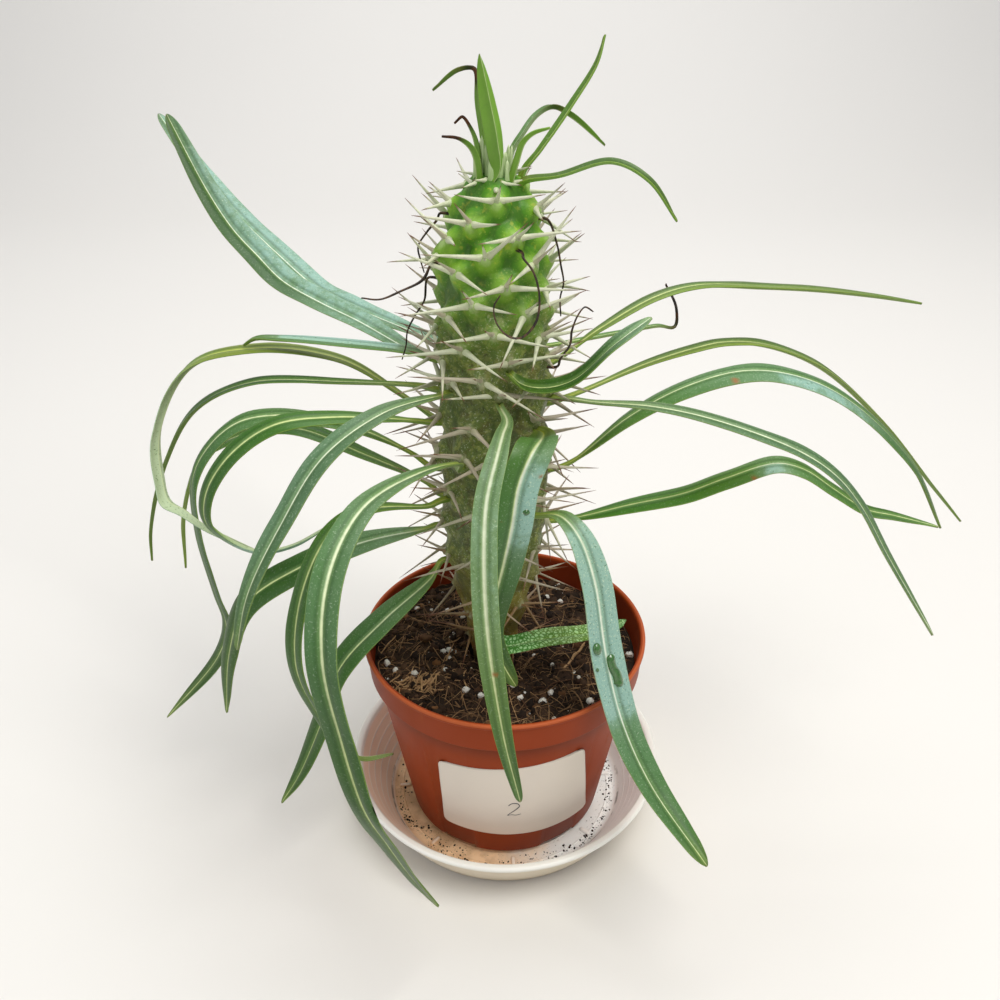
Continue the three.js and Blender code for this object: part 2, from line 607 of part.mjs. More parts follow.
// The blade's frames from the stem to the tip: a point, its side and its upper face's direction,
// its half width, its thickness and how far its edges rise
function bladeFrames(leaf, sections) {
  const curve = leafRoute(leaf);
  const [spanStart, spanEnd] = leaf.span ?? [0, 1];
  const leafThick = leaf.width < SMALL_LEAF_WIDTH ? SMALL_BLADE_THICK : BLADE_THICK;
  const sideways = polar(1, leaf.azimuth + 90, 0);
  const [turnStart, turnEnd] = leaf.turn;
  const length = curve.getLength();
  return Array.from({ length: sections }, (_, k) => {
    const s = k / (sections - 1);
    const tangent = curve.getTangentAt(s);
    const side = sideways.clone().addScaledVector(tangent, -sideways.dot(tangent)).normalize();
    const turn = radians(turnStart + (turnEnd - turnStart) * s);
    side.applyAxisAngle(tangent, turn);
    const up = tangent.clone().cross(side);
    const petiole = Math.max(1 - (s * length) / PETIOLE.length, 0);
    const narrow = THREE.MathUtils.lerp(Math.min(leaf.width, PETIOLE.width), TIP_WIDTH, s);
    const wide = leaf.width * smooth(BLADE_WIDTH, spanStart + (spanEnd - spanStart) * s);
    const fold = radians(leaf.fold + PETIOLE.fold * petiole);
    const thick = leafThick * (1 + petiole);
    return { point: curve.getPointAt(s), side, up, half: Math.max(wide, narrow) / 2, thick, fold };
  });
}

function bladeSolid(leaf, sections) {
  const points = [];
  for (const { point, side, up, half, thick, fold } of bladeFrames(leaf, sections)) {
    const edge = (sign, drop) => point.clone()
      .addScaledVector(side, sign * half * Math.cos(fold))
      .addScaledVector(up, half * Math.sin(fold) - drop);
    points.push(edge(-1, 0), point.clone(), edge(1, 0));
    points.push(edge(-1, thick), point.clone().addScaledVector(up, -thick), edge(1, thick));
  }
  const triangles = [[0, 1, 3], [1, 4, 3], [1, 2, 4], [2, 5, 4]];
  const last = points.length - 6;
  triangles.push(...triangles.map(([a, b, c]) => [last + a, last + c, last + b]));
  for (let k = 0; k < last; k += 6) {
    const [a, b, c, d, e, f] = [0, 1, 2, 3, 4, 5].map((i) => k + i);
    const quad = (p, q, flip) => {
      const faces = [[p, p + 6, q + 6], [p, q + 6, q]];
      triangles.push(...(flip ? faces.map(([x, y, z]) => [x, z, y]) : faces));
    };
    quad(a, b, false);
    quad(b, c, false);
    quad(d, e, true);
    quad(e, f, true);
    quad(a, d, true);
    quad(c, f, false);
  }
  return solidOf(geometryFrom(points, triangles));
}

// Spines: three to a bump, two splayed and one short, turned aside where a leaf is in the way
function bladeLines(leaves) {
  return leaves.flatMap((leaf) => bladeFrames(leaf, 60).map(({ point, side, half }) => (
    new THREE.Line3(
      point.clone().addScaledVector(side, -half),
      point.clone().addScaledVector(side, half),
    )
  )));
}

function meetsBlade(root, tip, lines) {
  const near = xyz(0, 0, 0);
  for (let t = 0.16; t <= 1.001; t += 0.12) {
    const p = root.clone().lerp(tip, t);
    for (const line of lines) {
      if (Math.abs(line.start.z - p.z) > 30) continue;
      line.closestPointToPoint(p, true, near);
      if (near.distanceTo(p) < SPINE_TO_BLADE) return true;
    }
  }
  return false;
}

function spineAxes(lines) {
  const spines = [];
  BUMPS.forEach((bump, n) => {
    const root = onStem(bump.azimuth, bump.height, -SPINE_SUNK);
    const outward = polar(1, bump.azimuth, 0);
    const length = smooth(SPINE_LENGTH, bump.height);
    for (let k = 0; k < 3; k += 1) {
      const short = k === 2;
      if (short && n % 2) continue;
      const draw = n * 3 + k;
      const vary = (shift) => chance(draw + shift) - 0.5;
      const splay = short
        ? SPINE_SPREAD.shortSplay * vary(0)
        : (k ? 1 : -1) * (SPINE_SPLAY + SPINE_SPREAD.splay * vary(0));
      const raised = short ? SHORT_SPINE.lift : 0;
      const lift = smooth(SPINE_LIFT, bump.height) + raised + SPINE_SPREAD.lift * vary(0.5);
      const share = (short ? SHORT_SPINE.share : 1) * (1 + SPINE_SPREAD.reach * vary(0.25));
      const reach = SPINE_SUNK + length * share;
      for (const turn of SPINE_TURNS) {
        const axis = outward.clone().applyAxisAngle(xyz(0, 0, 1), radians(splay));
        axis.z += lift;
        axis.normalize().applyAxisAngle(outward, radians(turn));
        const tip = root.clone().addScaledVector(axis, reach);
        if (tip.z < SOIL_TOP + SPINE_OVER_SOIL || meetsBlade(root, tip, lines)) continue;
        spines.push({ root, tip });
        break;
      }
    }
  });
  return spines;
}

// A spine is a three-sided needle
function spineSolid({ root, tip }) {
  const axis = tip.clone().sub(root).normalize();
  const side = axis.clone().cross(xyz(0.31, 0.17, 0.93)).normalize();
  const base = [0, 120, 240].map((angle) => (
    root.clone().addScaledVector(side.clone().applyAxisAngle(axis, radians(angle)), SPINE_ROOT_RADIUS)
  ));
  return solidOf(geometryFrom([...base, tip], [[0, 2, 1], [0, 1, 3], [1, 2, 3], [2, 0, 3]]));
}

// Soil: it fills the pot up to an uneven top, with a plain hole for the stem
function soilSolid() {
  const sides = ROUND_SIDES;
  const wall = (height) => potWallRadius(height) - POT_WALL - SOIL_TO_WALL;
  const relief = (x, y) => SOIL_RELIEF * (
    0.5 * Math.sin(0.17 * x + 1.1) * Math.cos(0.15 * y - 0.4) + 0.35 * Math.sin(0.41 * x - 0.33 * y)
    + 0.3 * Math.cos(0.52 * y + 0.29 * x + 2)
  );
  const holeRadius = coreRadius(SOIL_TOP) + SOIL_HOLE_ROOM;
  const underCollar = COLLAR_BOTTOM - 1;
  const rings = [
    [wall(SOIL_BOTTOM), SOIL_BOTTOM, 0], [wall(underCollar), underCollar, 0],
    [wall(underCollar) + 0.6, SOIL_TOP - 1.5, 0.4],
    ...SOIL_RINGS.map(([out, rise, share]) => [out, SOIL_TOP + rise, share]),
    [holeRadius, SOIL_TOP + 0.2, 0.5, stemLean(SOIL_TOP)],
    [holeRadius - SOIL_HOLE_TAPER, SOIL_HOLE_BOTTOM, 0, stemLean(SOIL_HOLE_BOTTOM)],
  ];
  const points = [xyz(0, 0, SOIL_BOTTOM)];
  for (const [out, height, share, lean = 0] of rings) {
    for (let i = 0; i < sides; i += 1) {
      const p = polar(out, (360 * i) / sides, height);
      p.z += share * relief(p.x, p.y);
      p.x += lean;
      points.push(p);
    }
  }
  const last = points.push(xyz(0, 0, SOIL_HOLE_BOTTOM)) - 1;
  const triangles = [];
  for (let i = 0; i < sides; i += 1) {
    const n = (i + 1) % sides;
    triangles.push([0, 1 + n, 1 + i], [last - sides + i, last - sides + n, last]);
    for (let row = 1; row + sides < last; row += sides) {
      const next = row + sides;
      triangles.push([row + i, row + n, next + n], [row + i, next + n, next + i]);
    }
  }
  return solidOf(geometryFrom(points, triangles));
}

const potted = new THREE.Group();
potted.name = 'potted_madagascar_palm';

function addPiece(name, solid, colour, roughness) {
  const material = new THREE.MeshStandardMaterial({ color: colour, roughness, metalness: 0 });
  const mesh = new THREE.Mesh(geometryOf(solid), material);
  mesh.name = name;
  potted.add(mesh);
}

const allLeaves = { ...LEAVES, ...YOUNG_LEAVES, ...DRY_LEAVES };
const lines = bladeLines(Object.values(allLeaves));
const stem = wasm.Manifold.union([stemSkin(0), ...spineAxes(lines).map(spineSolid)]);
const stemRoom = stemSkin(CLEARANCE + 0.1);

addPiece('saucer', saucerSolid(), COLOURS.saucer, 0.45);
addPiece('pot', potSolid(), COLOURS.pot, 0.55);
addPiece('label', labelSolid(), COLOURS.label, 0.8);
addPiece('soil', soilSolid(), COLOURS.soil, 0.95);
addPiece('stem', largestBody(stem), COLOURS.stem, 0.6);
for (const [name, leaf] of Object.entries(allLeaves)) {
  const small = name in YOUNG_LEAVES || name in DRY_LEAVES;
  const blade = bladeSolid(leaf, small ? SMALL_BLADE_SECTIONS : BLADE_SECTIONS);
  const colour = name in LEAVES ? COLOURS.leaf : name in YOUNG_LEAVES ? COLOURS.young : COLOURS.dry;
  addPiece(name, largestBody(blade.subtract(stemRoom)), colour, 0.5);
}

export default potted;
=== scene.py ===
import itertools
import math
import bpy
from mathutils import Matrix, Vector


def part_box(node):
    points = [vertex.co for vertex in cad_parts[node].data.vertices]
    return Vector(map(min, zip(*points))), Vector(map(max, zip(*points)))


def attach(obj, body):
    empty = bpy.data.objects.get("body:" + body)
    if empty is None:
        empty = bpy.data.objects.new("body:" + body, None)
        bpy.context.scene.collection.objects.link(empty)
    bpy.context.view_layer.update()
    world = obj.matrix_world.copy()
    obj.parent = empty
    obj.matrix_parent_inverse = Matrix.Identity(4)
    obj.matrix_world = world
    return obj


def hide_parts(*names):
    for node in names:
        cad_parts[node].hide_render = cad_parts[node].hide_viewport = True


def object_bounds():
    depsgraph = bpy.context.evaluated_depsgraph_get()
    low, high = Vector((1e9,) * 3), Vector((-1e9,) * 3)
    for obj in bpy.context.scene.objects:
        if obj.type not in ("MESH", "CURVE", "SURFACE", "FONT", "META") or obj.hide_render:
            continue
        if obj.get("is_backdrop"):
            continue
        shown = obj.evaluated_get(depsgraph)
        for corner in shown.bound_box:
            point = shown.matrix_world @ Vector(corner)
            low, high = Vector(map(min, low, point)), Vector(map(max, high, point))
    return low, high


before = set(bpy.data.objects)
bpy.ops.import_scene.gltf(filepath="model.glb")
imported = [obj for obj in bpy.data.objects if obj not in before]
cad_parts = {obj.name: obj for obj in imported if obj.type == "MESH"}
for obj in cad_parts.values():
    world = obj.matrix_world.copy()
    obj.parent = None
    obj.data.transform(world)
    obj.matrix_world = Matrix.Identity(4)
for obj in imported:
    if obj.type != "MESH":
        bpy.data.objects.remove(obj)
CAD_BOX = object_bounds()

from types import SimpleNamespace

import bmesh
import bpy
import numpy as np
from mathutils import Euler, Vector

bl_info = {
    "name": "Potted Madagascar Palm",
    "version": (1, 0, 0),
    "blender": (4, 5, 0),
    "location": "View3D > Sidebar > Palm",
    "description": "Builds the looks of a potted Madagascar palm round its packed model",
    "category": "Add Mesh",
}

# Lengths are in millimetres, and meshes are made in metres. The origin is the middle of the
# saucer's flat underside, +Z is up, and azimuth 0 points along +X.
MM = 0.001
TAU = 2 * math.pi

# Saucer
SAUCER_FLOOR = 2.2
SAUCER_FOOT_RADIUS = 54
SAUCER_SIDES = 160
STUB_RIBS = dict(count=8, first_azimuth=4, start=44.6, end=50.4, radius=1.1, sides=10, points=8)
SAUCER_LIP_WIDTH = 3.4
SAUCER_RIDGES = dict(radii=(49, 42, 30, 24, 18), height=0.35)
SAUCER_WALL = dict(foot=(53, 3.4), lines=(20.5, 16.5, 12.5, 8.5), relief=0.16)
# Crumbs on the saucer's floor, denser in clumps: radii are (least, most likely, greatest)
SAUCER_SPECKS = dict(count=1250, seed=11, azimuths=(-178, 42), stray_share=0.25, clump_every=60,
                     clump_width=36, clump_radii=(47.5, 52, 52.4), other_radii=(43.5, 50, 52.4),
                     smallest=(0.14, 0.1), growth=0.6)

# Pot
POT_HEIGHT = 89.5
POT_FOOT_RADIUS = 43.5
POT_SHOULDER_RADIUS = 56
POT_WALL = 1.5
POT_FLOOR = 2.4
POT_SIDES = 240
POT_CORNER_STEPS = 5
COLLAR_HEIGHT = 14.5
COLLAR_STEP = 2.4
DRAIN_SLOTS = dict(count=6, width=17, height=2.2, first_azimuth=-58)

# Label and its pen stroke, a plain numeral drawn on a square that is one unit high
LABEL = dict(azimuth=-90, thick=0.5, corner=2.5, columns=72, rows=44, ripple=0.12, ripple_size=9)
LABEL_CORNERS = [(-27.8, 19.8), (39.5, 18.8), (33.6, 67.8), (-28.3, 63.5)]
LABEL_GAP = 0.3
NUMERAL = [(-0.27, 0.33), (-0.1, 0.5), (0.14, 0.47), (0.24, 0.27), (0.1, 0.02), (-0.12, -0.22),
           (-0.3, -0.44), (-0.12, -0.4), (0.1, -0.45), (0.32, -0.38)]
NUMERAL_AZIMUTH = -86
NUMERAL_MIDDLE = 38
NUMERAL_HEIGHT = 9
NUMERAL_POINTS = 60
PEN_RADIUS = 0.16
PEN_SIDES = 8

# Soil
SOIL_TOP = 83.5
SOIL_BOTTOM = 7.2
SOIL_RELIEF = 1.5
SOIL_SIDES = 220
SOIL_RINGS = 56
SOIL_PROFILE = [(11.7, 83.7), (20, 84.0), (29, 84.1), (36, 83.9), (43, 83.5), (50, 82.9), (56.5, 82.0)]
SOIL_HOLE_RADIUS = 11.7
SOIL_LEANS_WITHIN = 34
SOIL_HOLE_BOTTOM = 58
SOIL_EDGE_RADIUS = 56.2
CRUMBS = dict(count=1500, seed=3, sizes=(0.4, 3.0), rough=0.28, flat=0.5)
BARK = dict(count=150, seed=4, sizes=(1.3, 3.4), rough=0.38, flat=0.22)
PERLITE = dict(count=150, seed=5, sizes=(0.25, 1.8), rough=0.16, flat=0.75)
PERLITE_PLACES = [(-50, -11), (-46, -15.5), (-38, -18), (20, 35), (26, 32), (15, -34), (34, -36), (-16, -29),
                  (-10, -32), (54, -4), (-40, 27)]
PLACED_PERLITE = (1.3, 2.1)
FIBRES = dict(count=1750, seed=7, reach=(3, 24), bend=55, arch=(0.2, 1.6), sides=5,
              radii=(0.07, 0.11, 0.17, 0.32), odds=(0.4, 0.35, 0.19, 0.06),
              taper=(0.5, 0.8, 1, 1, 1, 0.95, 0.85, 0.65, 0.3))
TWIGS = [
    dict(places=[(24.7, -16.9), (29, -9), (34.8, 0.2)], radius=0.7, tone=1.0),
    dict(places=[(-24.7, 5.9), (-22, -8), (-18.7, -22.2)], radius=0.4, tone=0.35),
    dict(places=[(-20.3, -34.2), (-17, -39), (-15.1, -42.8)], radius=0.4, tone=0.3),
]
TUFT = dict(place=(-35, -24), spread=4.5, stretch=(1.4, 0.8), count=70, heading=(25, 35), reach=(1, 4),
            lift=(0.1, 1.6), tilt=0.2, radii=(0.12, 0.45), tones=(0.7, 1), points=5, sides=5)
TWIG_SIDES = 9

# Stem: height above the table and the measure there
STEM_BOTTOM = 58.3
STEM_TOP = 284.5
STEM_COLUMNS = 168
STEM_ROWS = 350
STEM_BURIED_ROWS = (STEM_BOTTOM, 66, 74)
STEM_FIRST_ROW = 80
STEM_CORE = [(58, 7.5), (70, 8.2), (84, 9), (93, 9.8), (102, 11.2), (114, 13.6), (129, 16.5), (140, 17.8),
             (157, 18.4), (200, 17.8), (225, 17.4), (240, 16.9), (252, 16), (262, 14.2), (270, 12.2),
             (276, 9.8), (281, 6.4), (284.5, 0)]
STEM_LEAN = [(58, -4.5), (84, -4.8), (110, -4.5), (150, -4.1), (200, -3.8), (256, -3.6), (291, -3)]
BUMP_SPACING = [(58, 15), (110, 16), (160, 15.5), (210, 13.5), (250, 11.8), (284, 9.8)]
BUMP_HEIGHT = [(58, 1), (93, 1.2), (114, 2.2), (160, 2.8), (210, 3.2), (245, 4.2), (270, 4), (284, 1.6)]
LEAST_BUMP_RADIUS = 6
FULLY_RAISED = 3.4
AREOLE = dict(height=1.2, radius=2.4, film=3)
BUMP_PACKING = 0.87
BUMP_WIDTH = 0.56
BUMP_ABOVE = 0.5
BUMP_BELOW = 0.72
GOLDEN_ANGLE = 137.508
LOWEST_BUMP = SOIL_TOP + 6
HIGHEST_BUMP = 279

# Spines: three to a bump, two splayed and one short
SPINE_LENGTH = [(80, 19), (110, 23), (200, 24), (255, 20), (275, 16), (284, 13)]
SPINE_LIFT = [(80, -0.1), (140, -0.3), (210, -0.22), (250, 0.05), (275, 0.15), (284, 0.4)]
SPINE_SPLAY = 64
SPINE_SUNK = 1.4
SHORT_SPINE_SHARE = 0.62
SHORT_SPINE_LIFT = 0.7
SPINE_TURNS = (0, 20, -20, 40, -40, 60, -60)
SPINE_TO_BLADE = 3.6
SPINE_PROBES = np.arange(0.16, 1.001, 0.12)
SPINE_VARIES = dict(short_turn=10, splay=14, lift=0.24, length=0.3, bend=0.7, tone=0.3)
SPINE_SIDES = 10
SPINE_TAPER = [(0, 1.5), (0.07, 1.35), (0.16, 1.02), (0.32, 0.76), (0.6, 0.5), (0.85, 0.24), (1, 0.04)]
SPINE_STOUTNESS = [(80, 0.55), (120, 0.68), (170, 0.86), (240, 1), (284, 1)]
BUDS = dict(count=20, seed=21, heights=(8, 14), width=1.35, thick=0.55, spread=6.5, lean=(-0.4, 1.4),
            rows=12, sides=12)
CROWN_SPINES = dict(count=13, heights=(278.5, 282.5), reach=(7, 10.5), splay=50, lift=0.45, stoutness=0.75)
WOOL = dict(seed=13, rise=0.3, lift=0.6, smallest=0.8, growth=0.25, rough=0.3, flat=0.6)

# Leaves
PETIOLE_WIDTH = 3
PETIOLE_LENGTH = 16
PETIOLE_FOLD = 22
PETIOLE_BELOW_SPINES = 3.6
LEAF_SUNK = 3
YOUNG_LEAF_SEAT = 281.5
SMALL_LEAF_WIDTH = 3.2
TIP_WIDTH = 0.7
LEAF_ROWS = 124
SMALL_LEAF_ROWS = 60
TIP_CLOSENESS = 1.3
FRONT_REACH = -127.7
TIP_ROUNDING = 3.4
DRY_THINNESS = 0.6
DRY_STALK = 0.3
DRIED_SHRINKAGE = 0.4
RIPPLE = dict(height=0.45, size=16, between_sides=7.3)
# A blade's section: how soft its fold is, its arched halves, the channel over and the keel under the
# midrib as (depth, half width), its thickness at the edge and what the middle adds, and its stalk
BLADE = dict(soft=0.006, arch=0.09, channel=(0.22, 0.55), keel=(0.45, 0.8), edge=0.42, middle=0.58,
             stalk=0.6)
BLADE_WIDTH = [(0, 0), (0.05, 0.1), (0.13, 0.52), (0.24, 0.88), (0.38, 1), (0.56, 0.98), (0.74, 0.8),
               (0.9, 0.46), (1, 0.06)]
BLADE_ACROSS = (-1, -0.97, -0.88, -0.72, -0.52, -0.34, -0.2, -0.1, -0.04, 0,
                0.04, 0.1, 0.2, 0.34, 0.52, 0.72, 0.88, 0.97, 1)

# Each leaf: where it grows from (azimuth in degrees, height), the azimuth it reaches out along, its
# width, its fold and its turn at the stem and at the tip in degrees, the span of the blade's usual
# shape that it shows, and its midrib's route as (out from the axis, height, sideways). A leaf with no
# turn stays level across, and one with no span shows the whole shape.
LEAVES = {
    "leaf_left_1": dict(
        root=(143, 210), azimuth=142, width=13, fold=14, turn=(0, -27), span=(0, 0.93),
        route=[(43, 209), (75, 215.5), (98, 219), (120, 224), (134, 232), (149, 241.5), (163, 256),
               (179, 279), (183, 285)]),
    "leaf_left_2": dict(
        root=(166, 215), azimuth=166, width=8.5, fold=6,
        route=[(36, 217), (69, 217.8), (89, 217.6), (99, 216.8), (104.5, 213.7)]),
    "leaf_left_3": dict(
        root=(158, 189), azimuth=166, width=10.5, fold=4, turn=(15, -25),
        route=[(41, 195.5, -6), (66, 208.4, -6), (98, 212.2, -1), (126, 204.8, 6), (138, 180, 18),
               (134, 163, 28), (130, 157, 32), (121, 155, 35), (112, 150, 36), (94, 137, 30)]),
    "leaf_left_4": dict(
        root=(172, 204), azimuth=168, width=6, fold=8, turn=(0, -25),
        route=[(30, 205, 2), (62, 204, 2), (102, 199, -1), (130, 184, -4), (152, 155, -9),
               (172, 114, -16), (178, 92, -19)]),
    "leaf_left_5": dict(
        root=(192, 194), azimuth=192, width=9.5, fold=-2, turn=(0, -45),
        route=[(34, 196.3), (63, 200.5), (84, 199.6), (100, 190.2), (111, 175.9), (113.5, 163),
               (109, 155.2), (97, 146.4), (84, 147), (70, 153.6)]),
    "leaf_left_6": dict(
        root=(177, 172), azimuth=177, width=10.5, fold=-7, turn=(0, -60),
        route=[(35, 177.7), (54, 187.5), (72, 192), (88, 193), (102, 189.8), (115, 179.4), (124, 164.7),
               (127, 138), (124, 107), (122, 91), (128, 74), (159, 35)]),
    "leaf_left_7": dict(
        root=(160, 156), azimuth=160, width=9, fold=3, turn=(0, -35),
        route=[(32, 159), (61, 167.7), (95, 174.2), (140, 154), (158, 123), (165, 87)]),
    "leaf_left_8": dict(
        root=(192, 149), azimuth=192, width=14, fold=0, turn=(0, -40),
        route=[(31, 149), (56, 146), (81, 138), (104, 124), (114, 101), (120, 69)]),
    "leaf_left_9": dict(
        root=(201, 134), azimuth=201, width=15.5, fold=4, turn=(0, -15),
        route=[(31, 128, -1), (52, 113), (72, 95, 1), (82, 72, 3), (95, 48, 6), (104, 36, 7)]),
    "leaf_left_10": dict(
        root=(126, 214), azimuth=136, width=13, fold=12, span=(0, 0.93),
        route=[(45, 211, -7), (67, 212.5, -5), (96, 215, -3), (112, 217.5, -1.5), (139, 227.5, -1),
               (172, 242.6), (194, 255.5), (212, 268.5), (226, 279)]),
    "leaf_front_1": dict(
        root=(222, 210), azimuth=222, width=11, fold=6, span=(0, 0.93),
        route=[(31, 212), (54, 213), (79, 205), (97, 187), (112, 167), (119, 148)]),
    "leaf_front_2": dict(
        root=(213, 165), azimuth=214, width=9, fold=6, turn=(0, -25),
        route=[(33, 166, -1), (60, 173, -1), (75, 168), (88, 150, 2), (95, 123, 5), (90, 98, 6),
               (77, 67, 7), (60, 58, 6)]),
    "leaf_front_3": dict(
        root=(237, 182), azimuth=242, width=10.5, fold=6,
        route=[(30, 188, -2), (55, 196, -3), (90, 200, -2), (114, 191, 3), (127, 174, 9),
               (130, 148, 15), (131, 125, 21), (124, 103, 23), (113, 75, 23), (96, 37, 22)]),
    "leaf_front_4": dict(
        root=(-84, 208), azimuth=-90, width=8.7, fold=10, span=(0.05, 0.95),
        route=[(28, 206, 0.9), (36, 204.3, -0.6), (44, 200.5, -2.5), (55, 190, -6), (66, 175, -7),
               (76, 152, -6), (84, 114, -1), (87, 84, 5)]),
    "leaf_front_5": dict(
        root=(-42, 195), azimuth=-75, width=14, fold=8, span=(0.07, 0.96),
        route=[(30, 198.5, 5.5), (36, 201, 3), (41.4, 198.8, -2), (44.5, 189.8, -7), (47, 174.8, -10.3),
               (45.8, 156.5, -13.5), (43.4, 134.5, -17.4), (43, 124.5, -17), (44.4, 111.4, -12.2),
               (45.5, 101.6, -7.8)]),
    "leaf_front_6": dict(
        root=(-52, 162), azimuth=-50, width=15, fold=8, span=(0.02, 0.93),
        route=[(33, 166, -1), (42, 161), (51, 146), (61, 117, -1.8), (72, 91, -1.8), (88, 72, -1.8),
               (117, 54, -1.5)]),
    "leaf_front_7": dict(
        root=(-112, 97), azimuth=15, width=10.5, fold=6,
        route=[(-7, 106, -26), (8, 108, -28), (27, 103, -23), (43, 100, -18), (51, 97, -12)]),
    "leaf_right_1": dict(
        root=(22, 212), azimuth=22, width=7.5, fold=3,
        route=[(38, 223), (61, 232.4), (79, 234.8), (111, 230.5), (139, 225.8), (169, 219.4),
               (196, 212.7)]),
    "leaf_right_2": dict(
        root=(48, 214), azimuth=48, width=3.5, fold=6,
        route=[(38, 213), (74, 207), (103, 202), (117, 198), (116, 206), (105, 219.5)]),
    "leaf_right_3": dict(
        root=(-74, 219.5), azimuth=-15, width=10, fold=8, turn=(0, 20), span=(0.02, 0.9),
        route=[(11.5, 217.4, -20.7), (18, 217.2, -22.1), (24.7, 218.4, -21.3), (31.3, 222, -20.6),
               (41.8, 232.7, -16.8), (52.5, 240, -6.7)]),
    "leaf_right_4": dict(
        root=(16, 197), azimuth=16, width=7, fold=4, turn=(0, 15),
        route=[(30, 200.5), (56, 208.6), (76, 212.7), (89, 213.9), (107, 211), (134, 198.9),
               (170, 169.2), (207, 130.4), (229, 107.5)]),
    "leaf_right_5": dict(
        root=(3, 171), azimuth=3, width=12.5, fold=-10, turn=(0, 20),
        route=[(27, 175), (47, 192.4), (67, 204.1), (89, 210.2), (110, 207.5), (132, 196.7),
               (163, 168.3), (182, 137.5)]),
    "leaf_right_6": dict(
        root=(-13, 204), azimuth=-13, width=7.5, fold=3, turn=(0, 20),
        route=[(34, 203.5), (55, 203.7), (77, 200.7), (107, 191.7), (121, 183.5), (132, 171.8),
               (145, 152.1), (168, 119)]),
    "leaf_right_7": dict(
        root=(-4, 149), azimuth=-4, width=9.8, fold=-10, turn=(12, 15),
        route=[(29, 151), (49, 157.3), (70, 163.4), (85, 170.5), (103, 177.5), (114, 175.2),
               (127, 166.7), (140, 158.6), (151, 156.2), (169, 151.8)]),
    "leaf_back_1": dict(
        root=(82, 192), azimuth=82, width=12, fold=14,
        route=[(36, 198), (62, 202), (88, 194), (108, 174), (120, 146), (124, 118)]),
    "leaf_back_2": dict(
        root=(102, 154), azimuth=100, width=12, fold=14,
        route=[(36, 158), (62, 163), (88, 156), (106, 136), (114, 108)]),
    "leaf_back_3": dict(
        root=(90, 120), azimuth=90, width=11, fold=14,
        route=[(36, 124), (58, 128), (80, 122), (96, 106), (104, 86)]),
}

# The young leaves at the top and the dry ones that still hang on, given in the same way
YOUNG_LEAVES = {
    "young_leaf_1": dict(
        azimuth=-120, width=6.5, fold=24, turn=(60, 50),
        route=[(6, 284, 1), (7, 294, 1), (7, 305, -1.5), (7, 318, -4.6)]),
    "young_leaf_2": dict(
        azimuth=150, width=3, fold=24, turn=(30, 0),
        route=[(8, 284, -1), (10, 303, -1), (11, 313, -1), (15, 313, 2), (23, 307, 6)]),
    "young_leaf_3": dict(
        azimuth=180, width=2.4, fold=20, turn=(20, 0),
        route=[(8, 289), (10, 296), (13, 300), (16, 298)]),
    "young_leaf_4": dict(
        azimuth=215, width=2.6, fold=20,
        route=[(9.5, 285, -0.5), (12, 291), (17, 295), (22, 296, -2)]),
    "young_leaf_5": dict(
        azimuth=30, width=3, fold=24, turn=(0, -20),
        route=[(5, 287, 4), (8, 293.5, 1.5), (12, 299.5, -1), (16, 302, -4), (21, 299.5, -7),
               (32, 290, -12)]),
    "young_leaf_6": dict(
        azimuth=-35, width=2.6, fold=20,
        route=[(6, 286, -2), (9, 293, -2), (12, 296, -1), (17, 298, 1)]),
    "young_leaf_7": dict(
        azimuth=0, width=2.8, fold=24, turn=(40, 40),
        route=[(7, 283.5), (12, 289.5), (22, 303.5), (29, 315), (31, 323)]),
    "young_leaf_8": dict(
        azimuth=-15, width=3, fold=24, turn=(20, 20),
        route=[(8, 281, -3), (19, 283, -3), (36, 288, -3), (48, 283, -3), (58, 270)]),
}

DRY_LEAVES = {
    "dry_leaf_1": dict(
        root=(-64, 261), azimuth=0, width=1.6, fold=8,
        route=[(6.4, 261.5, -26), (9.5, 257.8, -28), (11.4, 251.4, -31), (10.9, 244.5, -33),
               (8.6, 240, -33), (5.5, 237.4, -33), (2.4, 237.4, -33), (-0.6, 239.3, -33),
               (-3.1, 242.8, -32), (-3.7, 247.5, -31), (-1.6, 251.3, -31)]),
    "dry_leaf_2": dict(
        root=(-20, 217), azimuth=-25, width=1.6, fold=8,
        route=[(23.2, 222.9, -3.5), (26.3, 228.2, -3.2), (26.7, 233.1, -3), (28.3, 238.5, -2.3),
               (30.1, 241.2), (33.2, 239.6, 1.1)]),
    "dry_leaf_3": dict(
        root=(-14, 268), azimuth=0, width=1.5, fold=8,
        route=[(18, 261, -7), (19.5, 254, -9), (20.5, 248.5, -10), (19.5, 243.2, -10),
               (19.9, 236.7, -10)]),
    "dry_leaf_4": dict(
        root=(180, 269), azimuth=180, width=1.5, fold=8,
        route=[(22.7, 267.3), (26.1, 263.5), (29.5, 258.3), (29, 253.7), (27.9, 249)]),
    "dry_leaf_5": dict(
        root=(180, 247), azimuth=180, width=1.6, fold=8,
        route=[(28.2, 239.5), (31.8, 233.8), (34.8, 228.1), (35.7, 222.4), (37.4, 217.2)]),
    "dry_leaf_6": dict(
        root=(200, 254), azimuth=200, width=2, fold=8,
        route=[(29, 250), (36, 246, -3), (43, 243, -6), (49, 244, -7)]),
}

